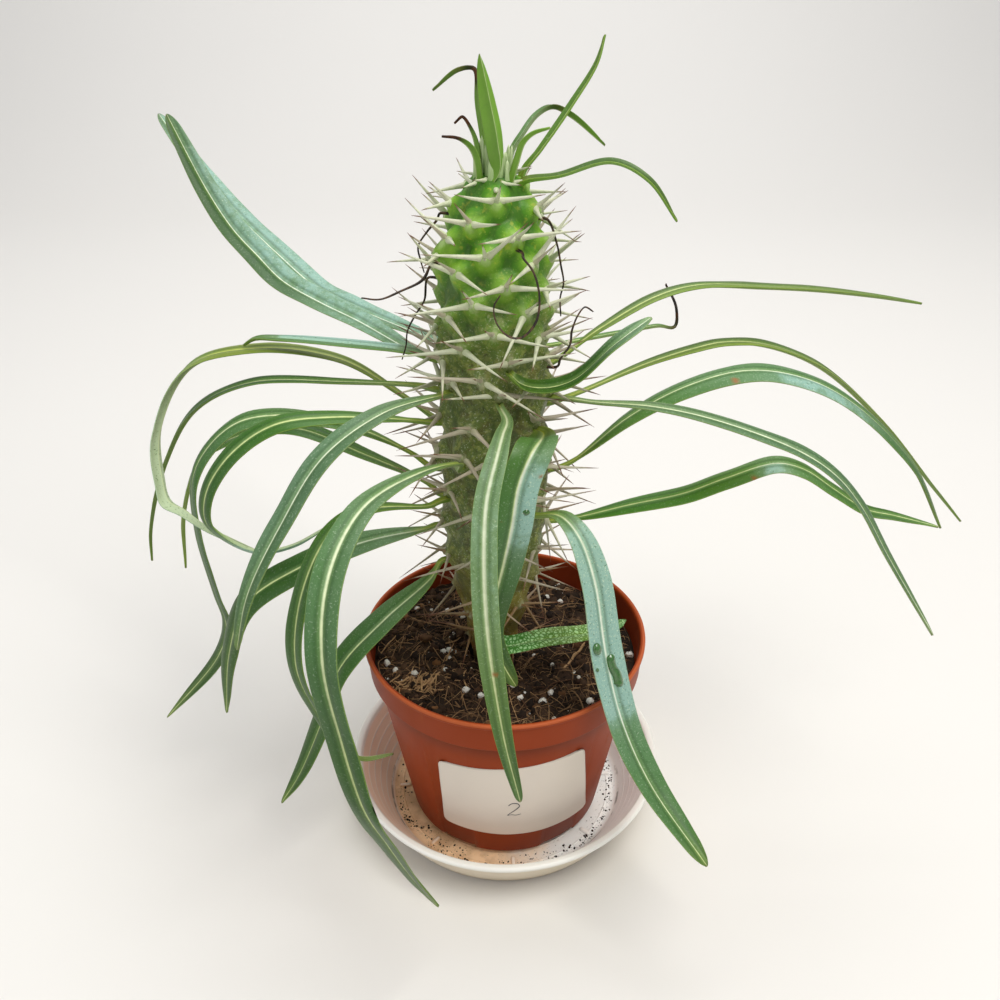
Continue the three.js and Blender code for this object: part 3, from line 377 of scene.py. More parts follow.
# How a leaf's colour changes from stem to tip: rows of (share of its length, amount) for the silvery
# bloom, which is partly a painted sheen of reflected light, the dark green, the yellow and the dried
# end, and under near what is otherwise on the half that is nearer the front; there the silvery and
# dark green rows paint the sheen and the shade that light gives that half. The first look is the usual one.
USUAL_LOOK = dict(
    silver_and_sheen=[(0, 0), (0.3, 0.06), (1, 0.02)],
    deep=[(0, 0.15), (0.5, 0.45), (1, 0.6)],
    yellow=[(0, 1), (0.06, 0.6), (0.14, 0.12), (0.9, 0.03), (1, 0.2)],
    dry=[(0, 0), (0.985, 0), (1, 0.5)],
    rib=[(0, 1.1), (0.5, 1), (1, 0.55)],
)
LEAF_LOOKS = {
    "leaf_left_1": dict(
        silver_and_sheen=[(0, 0.5), (0.3, 0.8), (0.85, 0.75), (1, 0.5)], deep=[(0, 0.4), (1, 0.6)],
        yellow=[(0, 1), (0.08, 0.1), (1, 0)],
        near=dict(
            silver_and_sheen=[(0, 0.5), (0.35, 0.7), (0.5, 0.2), (1, 0)],
            deep=[(0, 0.3), (0.35, 0.6), (0.5, 1), (1, 1)])),
    "leaf_left_2": dict(
        silver_and_sheen=[(0, 0), (0.15, 0.1), (0.3, 1.1), (0.75, 1.1), (0.88, 0.2), (1, 0)],
        deep=[(0, 0.9), (1, 0.9)], rib=[(0, 0.3), (1, 0.3)],
        near=dict(
            silver_and_sheen=[(0, 0), (0.5, 0.2), (1, 0.1)], deep=[(0, 0.3), (1, 0.5)],
            yellow=[(0, 1), (0.2, 0.1), (1, 0.1)])),
    "leaf_left_3": dict(
        silver_and_sheen=[(0, 0), (0.45, 0.05), (0.55, 0.6), (0.68, 1), (1, 1)],
        deep=[(0, 0.8), (0.45, 0.9), (0.6, 0.4), (1, 0.1)],
        yellow=[(0, 1), (0.2, 0.42), (0.5, 0.42), (0.62, 0), (1, 0)],
        rib=[(0, 1), (0.3, 2.6), (0.45, 2.2), (0.6, 1.6), (1, 0.6)]),
    "leaf_left_4": dict(silver_and_sheen=[(0, 0.2), (0.5, 0.1), (1, 0)], deep=[(0, 0.5), (0.5, 0.8), (1, 1)]),
    "leaf_left_5": dict(
        silver_and_sheen=[(0, 0), (0.68, 0.02), (0.78, 0.8), (1, 1)],
        deep=[(0, 0.3), (0.5, 0.7), (0.7, 0.8), (0.8, 0.1), (1, 0)],
        rib=[(0, 1), (0.3, 1.5), (0.6, 1.2), (1, 0.5)]),
    "leaf_left_6": dict(
        silver_and_sheen=[(0, 0), (0.3, 0.2), (0.5, 0.1), (1, 0)], deep=[(0, 0.4), (0.4, 0.6), (0.7, 1), (1, 1)],
        rib=[(0, 1), (0.3, 1.3), (1, 0.5)]),
    "leaf_left_7": dict(
        deep=[(0, 0.5), (0.5, 0.3), (1, 0.1)], yellow=[(0, 1), (0.16, 0.15), (0.7, 0.2), (1, 0.9)]),
    "leaf_left_8": dict(
        silver_and_sheen=[(0, 0.2), (0.12, 0.6), (0.3, 0.45), (0.42, 0.05), (1, 0)],
        deep=[(0, 0.1), (0.3, 0.3), (0.5, 0.9), (1, 0.9)], rib=[(0, 1), (0.4, 1.4), (1, 0.5)]),
    "leaf_left_9": dict(
        silver_and_sheen=[(0, 0.1), (0.25, 0.3), (0.5, 0), (1, 0)], deep=[(0, 0.4), (0.5, 0.8), (1, 1)],
        rib=[(0, 1), (0.3, 1.6), (0.6, 1), (1, 0.4)]),
    "leaf_left_10": dict(
        silver_and_sheen=[(0, 0.7), (0.3, 0.9), (1, 0.9)], deep=[(0, 0.3), (1, 0.5)],
        yellow=[(0, 0.5), (0.05, 0), (1, 0)],
        near=dict(silver_and_sheen=[(0, 0.6), (0.7, 0.7), (1, 0.6)], deep=[(0, 0.6), (1, 0.8)])),
    "leaf_front_1": dict(
        silver_and_sheen=[(0, 0.3), (0.4, 0.5), (0.75, 0.45), (1, 0.2)], deep=[(0, 0.9), (0.7, 0.8), (1, 0.8)],
        near=dict(silver_and_sheen=[(0, 0.3), (0.4, 0.35), (0.75, 0.3), (1, 0.1)], deep=[(0, 1), (1, 1)])),
    "leaf_front_2": dict(
        silver_and_sheen=[(0, 0.03), (0.8, 0), (1, 0.35)], deep=[(0, 0.5), (0.5, 0.75), (0.8, 0.9), (1, 0.6)],
        yellow=[(0, 1), (0.1, 0.2), (0.9, 0), (1, 0)], rib=[(0, 1), (0.3, 1.4), (1, 0.5)]),
    "leaf_front_3": dict(
        silver_and_sheen=[(0, 0.15), (0.2, 0.4), (0.45, 0.2), (0.6, 0.02), (1, 0)],
        deep=[(0, 0.4), (0.45, 0.7), (0.6, 0.9), (1, 1)], rib=[(0, 1), (0.3, 1.8), (0.55, 1.5), (1, 0.5)],
        near=dict(deep=[(0, 0.7), (0.45, 0.9), (1, 1)])),
    "leaf_front_4": dict(
        silver_and_sheen=[(0, 0.5), (0.5, 0.65), (0.7, 0.2), (1, 0.05)], deep=[(0, 0.7), (0.6, 0.6), (1, 1)],
        rib=[(0, 1.2), (0.3, 2.2), (0.55, 2.2), (0.75, 1.1), (1, 0.6)],
        yellow=[(0, 1), (0.05, 0.25), (0.6, 0.18), (0.8, 0.1), (1, 0)]),
    "leaf_front_5": dict(
        silver_and_sheen=[(0, 0.05), (0.2, 0.4), (0.3, 1), (0.45, 0.95), (0.58, 0.2), (1, 0)],
        deep=[(0, 0.5), (0.55, 0.6), (0.7, 1), (1, 1)], rib=[(0, 1.2), (0.4, 2.4), (0.7, 1.4), (1, 0.6)],
        near=dict(silver_and_sheen=[(0, 0.05), (0.5, 0.15), (0.7, 0.1), (1, 0)])),
    "leaf_front_6": dict(
        silver_and_sheen=[(0, 0.1), (0.12, 0.4), (0.22, 1.5), (0.5, 1.5), (0.68, 0.5), (1, 0.1)],
        deep=[(0, 0.2), (0.5, 0.3), (1, 0.7)], rib=[(0, 1.4), (0.35, 1.8), (0.7, 1), (1, 0.6)]),
    "leaf_front_7": dict(
        silver_and_sheen=[(0, 0.1), (0.5, 0.12), (1, 0)], deep=[(0, 0), (0.7, 0), (1, 0.6)],
        yellow=[(0, 0.5), (0.15, 0), (0.38, 0.1), (0.5, 0.8), (0.7, 1), (0.8, 0.3), (1, 0)]),
    "leaf_right_1": dict(
        deep=[(0, 0.8), (1, 1)], yellow=[(0, 1), (0.1, 0.25), (0.8, 0.2), (1, 0.1)],
        rib=[(0, 1), (0.4, 1.5), (1, 0.6)],
        near=dict(deep=[(0, 0.3), (1, 0.6)], yellow=[(0, 1), (0.1, 0.45), (0.8, 0.35), (1, 0.1)])),
    "leaf_right_2": dict(dry=[(0, 0), (0.7, 0.05), (0.8, 0.9), (1, 1)]),
    "leaf_right_3": dict(
        silver_and_sheen=[(0, 0), (0.6, 0.05), (0.85, 0.5), (1, 0.7)], deep=[(0, 0.7), (0.6, 0.9), (1, 0.4)]),
    "leaf_right_4": dict(
        deep=[(0, 0.8), (1, 1)], rib=[(0, 1), (0.6, 1.4), (1, 0.6)],
        yellow=[(0, 1), (0.12, 0.25), (0.7, 0.2), (1, 0.1)],
        near=dict(deep=[(0, 0.4), (1, 0.8)], yellow=[(0, 1), (0.12, 0.5), (0.7, 0.4), (1, 0.1)])),
    "leaf_right_5": dict(
        silver_and_sheen=[(0, 0.05), (0.3, 0.3), (0.7, 0.2), (1, 0)], deep=[(0, 0.2), (0.6, 0.5), (1, 0.9)],
        near=dict(silver_and_sheen=[(0, 0.05), (0.4, 0.3), (0.5, 0.9), (0.62, 0.8), (0.75, 0.25), (1, 0)])),
    "leaf_right_6": dict(
        silver_and_sheen=[(0, 0.2), (0.3, 0.4), (1, 0.35)], deep=[(0, 0.8), (1, 1)],
        yellow=[(0, 1), (0.08, 0.2), (1, 0)], rib=[(0, 1), (0.4, 1.2), (1, 0.8)]),
    "leaf_right_7": dict(
        silver_and_sheen=[(0, 0), (0.48, 0.05), (0.56, 0.4), (0.63, 0.1), (1, 0.03)],
        deep=[(0, 0), (0.5, 0.15), (1, 0.7)], yellow=[(0, 1), (0.08, 0.15), (0.5, 0.1), (1, 0)],
        near=dict(silver_and_sheen=[(0, 0), (0.5, 0.1), (0.56, 1), (0.63, 0.3), (1, 0.03)])),
    "young_leaf_1": dict(
        deep=[(0, 0.2), (0.3, 0.5), (1, 0.3)], rib=[(0, 0.5), (1, 0.3)],
        near=dict(deep=[(0, 0), (0.5, 0.1), (1, 0.3)])),
    "young_leaf_2": dict(
        deep=[(0, 0.1), (0.5, 0.5), (0.65, 1), (1, 1)], rib=[(0, 0.5), (1, 0.3)],
        dry=[(0, 0), (0.55, 0.1), (0.63, 1), (0.72, 0.9), (0.85, 0.3), (1, 0.5)]),
    "young_leaf_3": dict(deep=[(0, 0.2), (1, 0.8)], dry=[(0, 0), (0.6, 0.05), (0.75, 1), (1, 1)]),
    "young_leaf_4": dict(deep=[(0, 0.2), (1, 0.8)], dry=[(0, 0), (0.65, 0), (0.8, 1), (1, 1)]),
    "young_leaf_5": dict(
        silver_and_sheen=[(0, 0.5), (0.45, 0.6), (0.6, 0), (1, 0)], deep=[(0, 0.1), (0.4, 0.3), (0.55, 1), (1, 1)],
        dry=[(0, 0), (0.52, 0.1), (0.6, 0.6), (0.7, 0.1), (0.93, 0.05), (1, 0.6)]),
    "young_leaf_6": dict(deep=[(0, 0.7), (1, 1)], near=dict(deep=[(0, 0), (1, 0.1)])),
    "young_leaf_7": dict(
        deep=[(0, 0.3), (1, 0.8)], rib=[(0, 0.4), (1, 0.2)],
        near=dict(deep=[(0, 0), (1, 0.1)], yellow=[(0, 1), (0.2, 0.3), (1, 0.3)])),
    "young_leaf_8": dict(
        deep=[(0, 1), (1, 1)], rib=[(0, 0.4), (1, 0.2)],
        near=dict(deep=[(0, 0), (1, 0.1)], yellow=[(0, 1), (0.2, 0.3), (1, 0.3)])),
}

# Brown nicks: the share of the leaf's length, the share of its half width, and the radius
NICKS = {
    "leaf_front_4": (0.657, 0.18, 1.3),
    "leaf_front_5": (0.283, 0.85, 1.1),
    "leaf_right_5": (0.39, -0.8, 1.6),
    "leaf_right_7": (0.512, -0.95, 1.5),
}

NETTED_LEAVES = ("leaf_front_7",)
NETTED_GREEN = "#5fa545"
# How strongly the netted leaf gets painted highlights on its puckered cells and painted shade in the creases
# between them
NET_LIGHT_AND_SHADE = 0.8

# The values that a leaf's mesh holds for its material
LEAF_VALUES = ("side", "edge", "under", "silver_and_sheen", "deep", "yellow", "dry", "rib", "nick")

# Drops of water on the front leaves: the leaf, then one or more places (share of its length, share of
# its half width) that the water runs through, and its radius at each
DROPS = [
    dict(leaf="leaf_front_6", places=[(0.43, -0.66)], radii=[2]),
    dict(leaf="leaf_front_6", radii=[1.6, 2, 1.9, 2.1, 2.4, 1.7],
         places=[(0.458, 0.3), (0.474, 0.2), (0.497, 0.22), (0.517, 0.34), (0.536, 0.34), (0.549, 0.2)]),
    dict(leaf="leaf_front_6", places=[(0.48, -0.85)], radii=[0.7]),
    dict(leaf="leaf_front_5", places=[(0.38, 0.6), (0.402, 0.56)], radii=[1.6, 1.9]),
]
DROP_HEIGHT = 0.75
DROP_SIDES = 28
DROP_LEAF_ROWS = 241
# A round drop's section as (share of its height, share of its radius)
DROP_SECTION = ((-0.25, 0.9), (0, 1), (0.35, 0.97), (0.7, 0.8), (0.92, 0.5), (0.99, 0.2))

# Camera and light, in metres and degrees
CAMERA = dict(lens=33.84, sensor=36, place=(-0.0017, -0.3202, 0.3463), turn=(59.5, 0, 0), roll=-0.3)
LIGHTS = {
    "key_light": dict(
        place=(0.4, -0.4, 1.25), target=(0, 0, 0.15), power=12.3, size=0.7, colour=(1, 0.98, 0.94)),
    "fill_light": dict(
        place=(-0.95, -0.55, 0.7), target=(0, 0, 0.15), power=3.5, size=1.1, colour=(0.96, 0.98, 1)),
    "back_light": dict(
        place=(0, 0.8, 1.9), target=(0, 1.9, 0.2), power=24, size=1.3, colour=(0.97, 0.98, 1)),
}
WORLD_STRENGTH = 0.36
WORLD_COLOUR = "#f3f6fb"
STAGE = dict(half_width=4, front=-3, bend=1.1, radius=1.2, height=4, steps=24)


def tint(code):
    """The linear colour of a hex code such as #3f7a3a."""
    channels = [int(code[k:k + 2], 16) / 255 for k in (1, 3, 5)]
    return tuple(c / 12.92 if c <= 0.04045 else ((c + 0.055) / 1.055) ** 2.4 for c in channels)


def length(name, description, default):
    """A size that a user may change, in metres."""
    return bpy.props.FloatProperty(
        name=name, description=description, default=default, unit="LENGTH", precision=4)


def colour(name, description, code):
    """A colour that a user may change."""
    return bpy.props.FloatVectorProperty(
        name=name, description=description, default=tint(code), subtype="COLOR", size=3, min=0, max=1)


class PalmSizes(bpy.types.PropertyGroup):
    """The sizes of the plant, its pot and its saucer."""

    saucer_radius: length("Saucer radius", "Outer radius of the saucer's lip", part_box("saucer")[1].x)
    saucer_height: length("Saucer height", "Height of the saucer's lip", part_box("saucer")[1].z)
    pot_radius: length("Pot radius", "Outer radius of the pot's rim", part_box("pot")[1].x)
    pot_bottom: length("Pot bottom", "Height of the pot's foot above the table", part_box("pot")[0].z)
    blade_thickness: length("Leaf thickness", "Thickness of a leaf beside its midrib", 0.9 * MM)
    small_thickness: length("Small leaf thickness", "Thickness of a young or dry leaf", 0.65 * MM)
    spine_radius: length("Spine radius", "Radius of a spine at its root", 1.0 * MM)


class PalmColours(bpy.types.PropertyGroup):
    """The colours of the plant, its pot and its saucer."""

    saucer: colour("Saucer", "White plastic of the saucer", "#f1eee6")
    saucer_stain: colour("Saucer stain", "Dried water and soil on the saucer's floor", "#fbd09c")
    pot: colour("Pot", "Terracotta plastic of the pot", "#9b3a08")
    pot_inside: colour("Pot inside", "Damp inner wall of the pot", "#7a2c16")
    paper: colour("Paper", "Paper of the label", "#ebe0d2")
    ink: colour("Ink", "Pen on the label", "#2b2b33")
    soil: colour("Soil", "Damp peat", "#0e0a07")
    soil_light: colour("Light soil", "Dry bark and peat", "#5f4632")
    fibre: colour("Fibre", "Roots and fibres in the soil", "#c49c70")
    perlite: colour("Perlite", "White grains in the soil", "#e8e4dc")
    stem: colour("Stem", "Old green skin of the stem", "#5a6b2a")
    # Colour of the painted highlight on the bumps of the young skin near the top
    young_stem_highlight: colour("Young stem", "Bright skin near the top", "#93c134")
    stem_cork: colour("Stem cork", "Olive and brown bark low on the stem", "#94782f")
    spine: colour("Spine", "Pale spine", "#cdd0b2")
    spine_tip: colour("Spine tip", "Brown tip of a spine", "#6b3f24")
    wool: colour("Wool", "Felt at the roots of the spines", "#bcc69a")
    leaf: colour("Leaf", "Green of a leaf", "#3b7624")
    leaf_deep: colour("Dark leaf", "Dark green of a leaf", "#1a410e")
    # The silvery colour of the leaves, partly a real bloom and partly a painted sheen of reflected light
    leaf_silver_and_sheen: colour("Silvery leaf", "Bloom on a leaf", "#7c9c80")
    leaf_yellow: colour("Yellow leaf", "Leaf stalk and yellowing end", "#a3ad3c")
    leaf_under: colour("Leaf underside", "Paler underside of a leaf", "#7a9a30")
    midrib: colour("Midrib", "Pale midrib of a leaf", "#d3de9c")
    young_leaf: colour("Young leaf", "Yellow-green of a young leaf", "#659a18")
    dry_leaf: colour("Dry leaf", "Brown of a dry leaf", "#1a110b")
    stage: colour("Stage", "Pale floor under the plant", "#e6e3de")


def in_mm(sizes):
    """The sizes in millimetres, by name."""
    return SimpleNamespace(**{name: getattr(sizes, name) / MM for name in PalmSizes.__annotations__})


def frac(x):
    return x - np.floor(x)


def chance(n):
    """A repeatable value from 0 to 1 for a number."""
    return float(frac(math.sin(n * 12.9898 + 4.137) * 43758.5453))


def between(ends, share):
    """A value at a share of the way between two ends."""
    return ends[0] + (ends[1] - ends[0]) * share


def all_round(count, whole=360):
    """Angles spaced evenly round a whole turn."""
    return np.arange(count) * whole / count


def smooth(table, x):
    """A smooth curve through the (x, y) rows of a table."""
    xs, ys = np.array(table, dtype=float).T
    before = np.maximum(np.arange(len(xs)) - 1, 0)
    after = np.minimum(np.arange(len(xs)) + 1, len(xs) - 1)
    slopes = (ys[after] - ys[before]) / (xs[after] - xs[before])
    x = np.clip(x, xs[0], xs[-1])
    k = np.clip(np.searchsorted(xs, x) - 1, 0, len(xs) - 2)
    width = xs[k + 1] - xs[k]
    t = (x - xs[k]) / width
    rise = t * t * (3 - 2 * t)
    ends = width * t * (1 - t) * ((1 - t) * slopes[k] - t * slopes[k + 1])
    return ys[k] + (ys[k + 1] - ys[k]) * rise + ends


def soft_step(x, low, high):
    """0 below low, 1 above high, and smooth between."""
    t = np.clip((x - low) / (high - low), 0, 1)
    return t * t * (3 - 2 * t)


def lumps(points, size, seed=0.0):
    """A soft random value from -1 to 1 at each point, with lumps of the given size."""
    scaled = np.asarray(points, dtype=float) / size
    cell = np.floor(scaled)
    part = scaled - cell
    part = part * part * (3 - 2 * part)
    total = 0
    for corner in itertools.product((0, 1), repeat=3):
        weight = np.prod(np.where(corner, part, 1 - part), axis=-1)
        total = total + weight * frac(np.sin((cell + corner) @ (127.1, 311.7, 74.7) + seed) * 43758.5453)
    return 2 * total - 1


def polar(out, azimuth, height):
    """A point from its distance to the axis, its azimuth in degrees and its height."""
    angle = np.radians(azimuth)
    return np.stack(np.broadcast_arrays(out * np.cos(angle), out * np.sin(angle), height), axis=-1)


def unit(vectors):
    return vectors / np.linalg.norm(vectors, axis=-1, keepdims=True)


def turned_about(vector, axis, degrees):
    """A vector turned about a unit axis."""
    angle = np.radians(degrees)[..., None] if np.ndim(degrees) else math.radians(degrees)
    along = np.sum(vector * axis, axis=-1, keepdims=True) * axis
    return along + (vector - along) * np.cos(angle) + np.cross(axis, vector) * np.sin(angle)


def rounded(corners, steps=4):
    """A profile of (radius, height) points from corners of (radius, height, how far each is cut)."""
    points = []
    for k, (x, y, cut) in enumerate(corners):
        here = np.array((x, y), dtype=float)
        if not cut or k in (0, len(corners) - 1):
            points.append(here)
            continue
        before, after = (np.array(corners[n][:2], dtype=float) - here for n in (k - 1, k + 1))
        start = here + before * min(cut / np.linalg.norm(before), 0.49)
        end = here + after * min(cut / np.linalg.norm(after), 0.49)
        for t in np.linspace(0, 1, steps + 1):
            points.append((1 - t) ** 2 * start + 2 * t * (1 - t) * here + t ** 2 * end)
    return np.array(points)


def catmull_rom(points, samples=36):
    """A centripetal curve through the points, sampled finely."""
    points = np.array(points, dtype=float)
    ends = np.vstack([2 * points[0] - points[1], points, 2 * points[-1] - points[-2]])
    line = []
    for p0, p1, p2, p3 in zip(ends, ends[1:], ends[2:], ends[3:]):
        d0, d1, d2 = (np.linalg.norm(b - a) ** 0.5 for a, b in ((p0, p1), (p1, p2), (p2, p3)))
        start = d1 * ((p1 - p0) / d0 - (p2 - p0) / (d0 + d1) + (p2 - p1) / d1)
        end = d1 * ((p2 - p1) / d1 - (p3 - p1) / (d1 + d2) + (p3 - p2) / d2)
        t = np.linspace(0, 1, samples, endpoint=False)[:, None]
        line.append(p1 + start * t + (3 * (p2 - p1) - 2 * start - end) * t ** 2
                    + (2 * (p1 - p2) + start + end) * t ** 3)
    return np.vstack([*line, points[-1:]])


def points_along(line, shares):
    """Points at the given shares of a line's length, with its length."""
    steps = np.linalg.norm(np.diff(line, axis=0), axis=1)
    run = np.concatenate([[0], np.cumsum(steps)])
    return np.stack([np.interp(shares * run[-1], run, line[:, k]) for k in range(3)], axis=-1), run[-1]


def new_object(name, data):
    """An object in the scene."""
    thing = bpy.data.objects.new(name, data)
    bpy.context.scene.collection.objects.link(thing)
    return thing


def new_mesh(name, points, faces, finish):
    """A smooth mesh of one material, from points in metres."""
    mesh = bpy.data.meshes.new(name)
    mesh.from_pydata(np.array(points, dtype=float).tolist(), [], faces)
    mesh.polygons.foreach_set("use_smooth", np.ones(len(faces), dtype=bool))
    mesh.materials.append(finish)
    return mesh


class Shape:
    """Closed bodies gathered into one mesh, with named values at their points."""

    def __init__(self):
        self.points = []
        self.faces = []
        self.values = {}
        self.count = 0

    def add(self, points, faces, **values):
        """Add points, a list of face arrays, and one value or one per point for each name."""
        self.points.append(points)
        self.faces += [np.asarray(group) + self.count for group in faces]
        for name, value in values.items():
            self.values.setdefault(name, []).append(np.broadcast_to(value, len(points)))
        self.count += len(points)

    def add_rings(self, rings, first=None, last=None, **values):
        """Add one closed body of rings of points, with a pole inside each end ring."""
        rows, columns = rings.shape[:2]
        first = rings[0].mean(axis=0) if first is None else first
        last = rings[-1].mean(axis=0) if last is None else last
        points = np.vstack([rings.reshape(-1, 3), first, last])
        row, column = np.meshgrid(np.arange(rows - 1), np.arange(columns), indexing="ij")
        here = (row * columns + column).ravel()
        beside = (row * columns + (column + 1) % columns).ravel()
        quads = np.stack([here, beside, beside + columns, here + columns], axis=-1)
        ring = np.arange(columns)
        after = (ring + 1) % columns
        top = (rows - 1) * columns
        pole = np.full(columns, rows * columns)
        fans = np.vstack([np.stack([pole, after, ring], axis=-1),
                          np.stack([pole + 1, top + ring, top + after], axis=-1)])
        if signed_volume(points, quads, fans) < 0:
            quads, fans = quads[:, ::-1], fans[:, ::-1]
        full = {}
        for name, value in values.items():
            grid = np.broadcast_to(value, (rows, columns))
            full[name] = np.concatenate([grid.ravel(), [grid[0].mean(), grid[-1].mean()]])
        self.add(points, [quads, fans], **full)

    def add_copies(self, bodies, faces, **values):
        """Add many bodies with the same faces; each value is one per body."""
        count, size = bodies.shape[:2]
        shifts = (np.arange(count) * size)[:, None, None]
        full = {name: np.repeat(value, size) for name, value in values.items()}
        self.add(bodies.reshape(-1, 3), [(faces[None] + shifts).reshape(-1, faces.shape[1])], **full)

    def piece(self, name, finish, slot, *nodes):
        """Make the mesh object, which rides on the part and stands for the given nodes."""
        faces = [face for group in self.faces for face in group.tolist()]
        mesh = new_mesh(name, np.vstack(self.points) * MM, faces, finish)
        for key, groups in self.values.items():
            layer = mesh.attributes.new(key, "FLOAT", "POINT")
            layer.data.foreach_set("value", np.concatenate(groups).astype(np.float32))
        if mesh.validate():
            raise RuntimeError(f"{name} has a faulty mesh")
        piece = new_object(name, mesh)
        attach(piece, "root")
        if nodes:
            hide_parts(*nodes)


def signed_volume(points, quads, triangles):
    """Six times the volume of a closed mesh, below zero where its faces point inwards."""
    corners = np.vstack([triangles, quads[:, :3], quads[:, [0, 2, 3]]])
    a, b, c = (points[corners[:, k]] for k in range(3))
    return float(np.sum(a * np.cross(b, c)))


def tube_rings(route, radii, sides):
    """Rings of points along a route, with a radius at each point."""
    route = np.asarray(route, dtype=float)
    tangent = unit(np.gradient(route, axis=0))
    reference = np.eye(3)[np.argmin(np.abs(route[-1] - route[0]))]
    side = unit(np.cross(tangent, reference))[:, None]
    up = np.cross(side, tangent[:, None])
    angle = all_round(sides, TAU)[:, None]
    radii = np.broadcast_to(radii, len(route))[:, None, None]
    return route[:, None] + radii * (side * np.cos(angle) + up * np.sin(angle))


def lathe_rings(profile, sides):
    """Rings of points from a profile of (radius, height) points that starts and ends on the axis."""
    return polar(profile[1:-1, :1], all_round(sides), profile[1:-1, 1:])


def on_axis(height):
    return np.array((0, 0, height), dtype=float)


def ball(fineness):
    """The points and faces of a small round body."""
    mesh = bmesh.new()
    bmesh.ops.create_icosphere(mesh, subdivisions=fineness, radius=1)
    points = np.array([vertex.co[:] for vertex in mesh.verts])
    faces = np.array([[vertex.index for vertex in face.verts] for face in mesh.faces])
    mesh.free()
    return points, faces


def grains(draw, places, sizes, rough, flat, fineness=2):
    """Rough grains at the given places, each with its own lumps, squash and turn."""
    points, faces = ball(fineness)
    count = len(places)
    bodies = points[None] * (1 + rough * draw.uniform(-1, 1, (count, len(points), 1)))
    bodies = bodies * draw.uniform(flat, 1, (count, 1, 3))
    turns = [np.array(Euler(angles).to_matrix()) for angles in draw.uniform(0, TAU, (count, 3))]
    bodies = np.einsum("nij,nkj->nki", np.array(turns), bodies)
    return bodies * np.asarray(sizes)[:, None, None] + np.asarray(places)[:, None], faces


class Value:
    """A shader socket that can stand in a Python expression."""

    def __init__(self, finish, socket):
        self.finish = finish
        self.socket = socket

    def maths(self, operation, *values):
        return self.finish.node("Math", {"operation": operation}, dict(enumerate(values)))

    def __add__(self, other):
        return self.maths("ADD", self, other)

    def __radd__(self, other):
        return self.maths("ADD", other, self)

    def __sub__(self, other):
        return self.maths("SUBTRACT", self, other)

    def __rsub__(self, other):
        return self.maths("SUBTRACT", other, self)

    def __mul__(self, other):
        return self.maths("MULTIPLY", self, other)

    def __rmul__(self, other):
        return self.maths("MULTIPLY", other, self)

    def __abs__(self):
        return self.maths("ABSOLUTE", self)

    def sine(self):
        return self.maths("SINE", self)

    def at_most(self, other):
        return self.maths("MINIMUM", self, other)


class Finish:
    """One material, whose nodes come from Python expressions."""

    def __init__(self, name):
        self.material = bpy.data.materials.new(name)
        self.material.use_nodes = True
        self.tree = self.material.node_tree
        self.tree.nodes.clear()
        self.place = self.node("TexCoord", output="Object")

    def node(self, kind, settings=None, inputs=None, output=0):
        """Add a node: its settings first, then its sockets, and return one of its outputs."""
        node = self.tree.nodes.new("ShaderNode" + kind)
        for key, value in (settings or {}).items():
            setattr(node, key, value)
        for key, value in (inputs or {}).items():
            if isinstance(value, Value):
                self.tree.links.new(value.socket, node.inputs[key])
            elif node.inputs[key].type == "RGBA":
                node.inputs[key].default_value = (*(tint(value) if isinstance(value, str) else value), 1)
            else:
                node.inputs[key].default_value = value
        return Value(self, node.outputs[output])

    def at_point(self, name):
        """A value that the mesh holds at its points."""
        return self.node("Attribute", {"attribute_name": name}, output="Fac")

    def noise(self, size, detail=2, roughness=0.5, stretch=(1, 1, 1)):
        """Noise with lumps of the given size, from 0 to 1."""
        place = self.node("VectorMath", {"operation": "MULTIPLY"}, {0: self.place, 1: stretch})
        return self.node("TexNoise", None, {
            "Vector": place, "Scale": 1 / (size * MM), "Detail": detail, "Roughness": roughness})

    def cells(self, size, feature="F1"):
        """The distance to the middle or the edge of the nearest cell, from 0 up."""
        return self.node("TexVoronoi", {"feature": feature}, {
            "Vector": self.place, "Scale": 1 / (size * MM)}, "Distance")

    def along(self, axis):
        """The place along X, Y or Z, in millimetres."""
        return self.node("SeparateXYZ", None, {0: self.place}, axis) * (1 / MM)

    def out(self):
        """The distance from the pot's axis, in millimetres."""
        flat = self.node("VectorMath", {"operation": "MULTIPLY"}, {0: self.place, 1: (1, 1, 0)})
        return self.node("VectorMath", {"operation": "LENGTH"}, {0: flat}, "Value") * (1 / MM)

    def band(self, value, low, high):
        """0 below low, 1 above high, and smooth between."""
        return self.node("MapRange", {"interpolation_type": "SMOOTHSTEP"}, {
            "Value": value, "From Min": low, "From Max": high})

    def mix(self, share, first, second):
        """A colour between the first and the second."""
        return self.node("Mix", {"data_type": "RGBA"}, {0: share, 6: first, 7: second}, 2)

    def coats(self, base, *coats):
        """A colour under coats, each given as (how much it hides, its colour)."""
        for share, paint in coats:
            base = self.mix(share, base, paint)
        return base

    def bump(self, height, distance, strength):
        """A normal from a height of 0 to 1, over a distance in millimetres."""
        return self.node("Bump", None, {"Height": height, "Distance": distance * MM, "Strength": strength})

    def done(self, sockets):
        """Close the material with one shader, and return it."""
        surface = self.node("BsdfPrincipled", None, sockets)
        output = self.tree.nodes.new("ShaderNodeOutputMaterial")
        self.tree.links.new(surface.socket, output.inputs["Surface"])
        return self.material


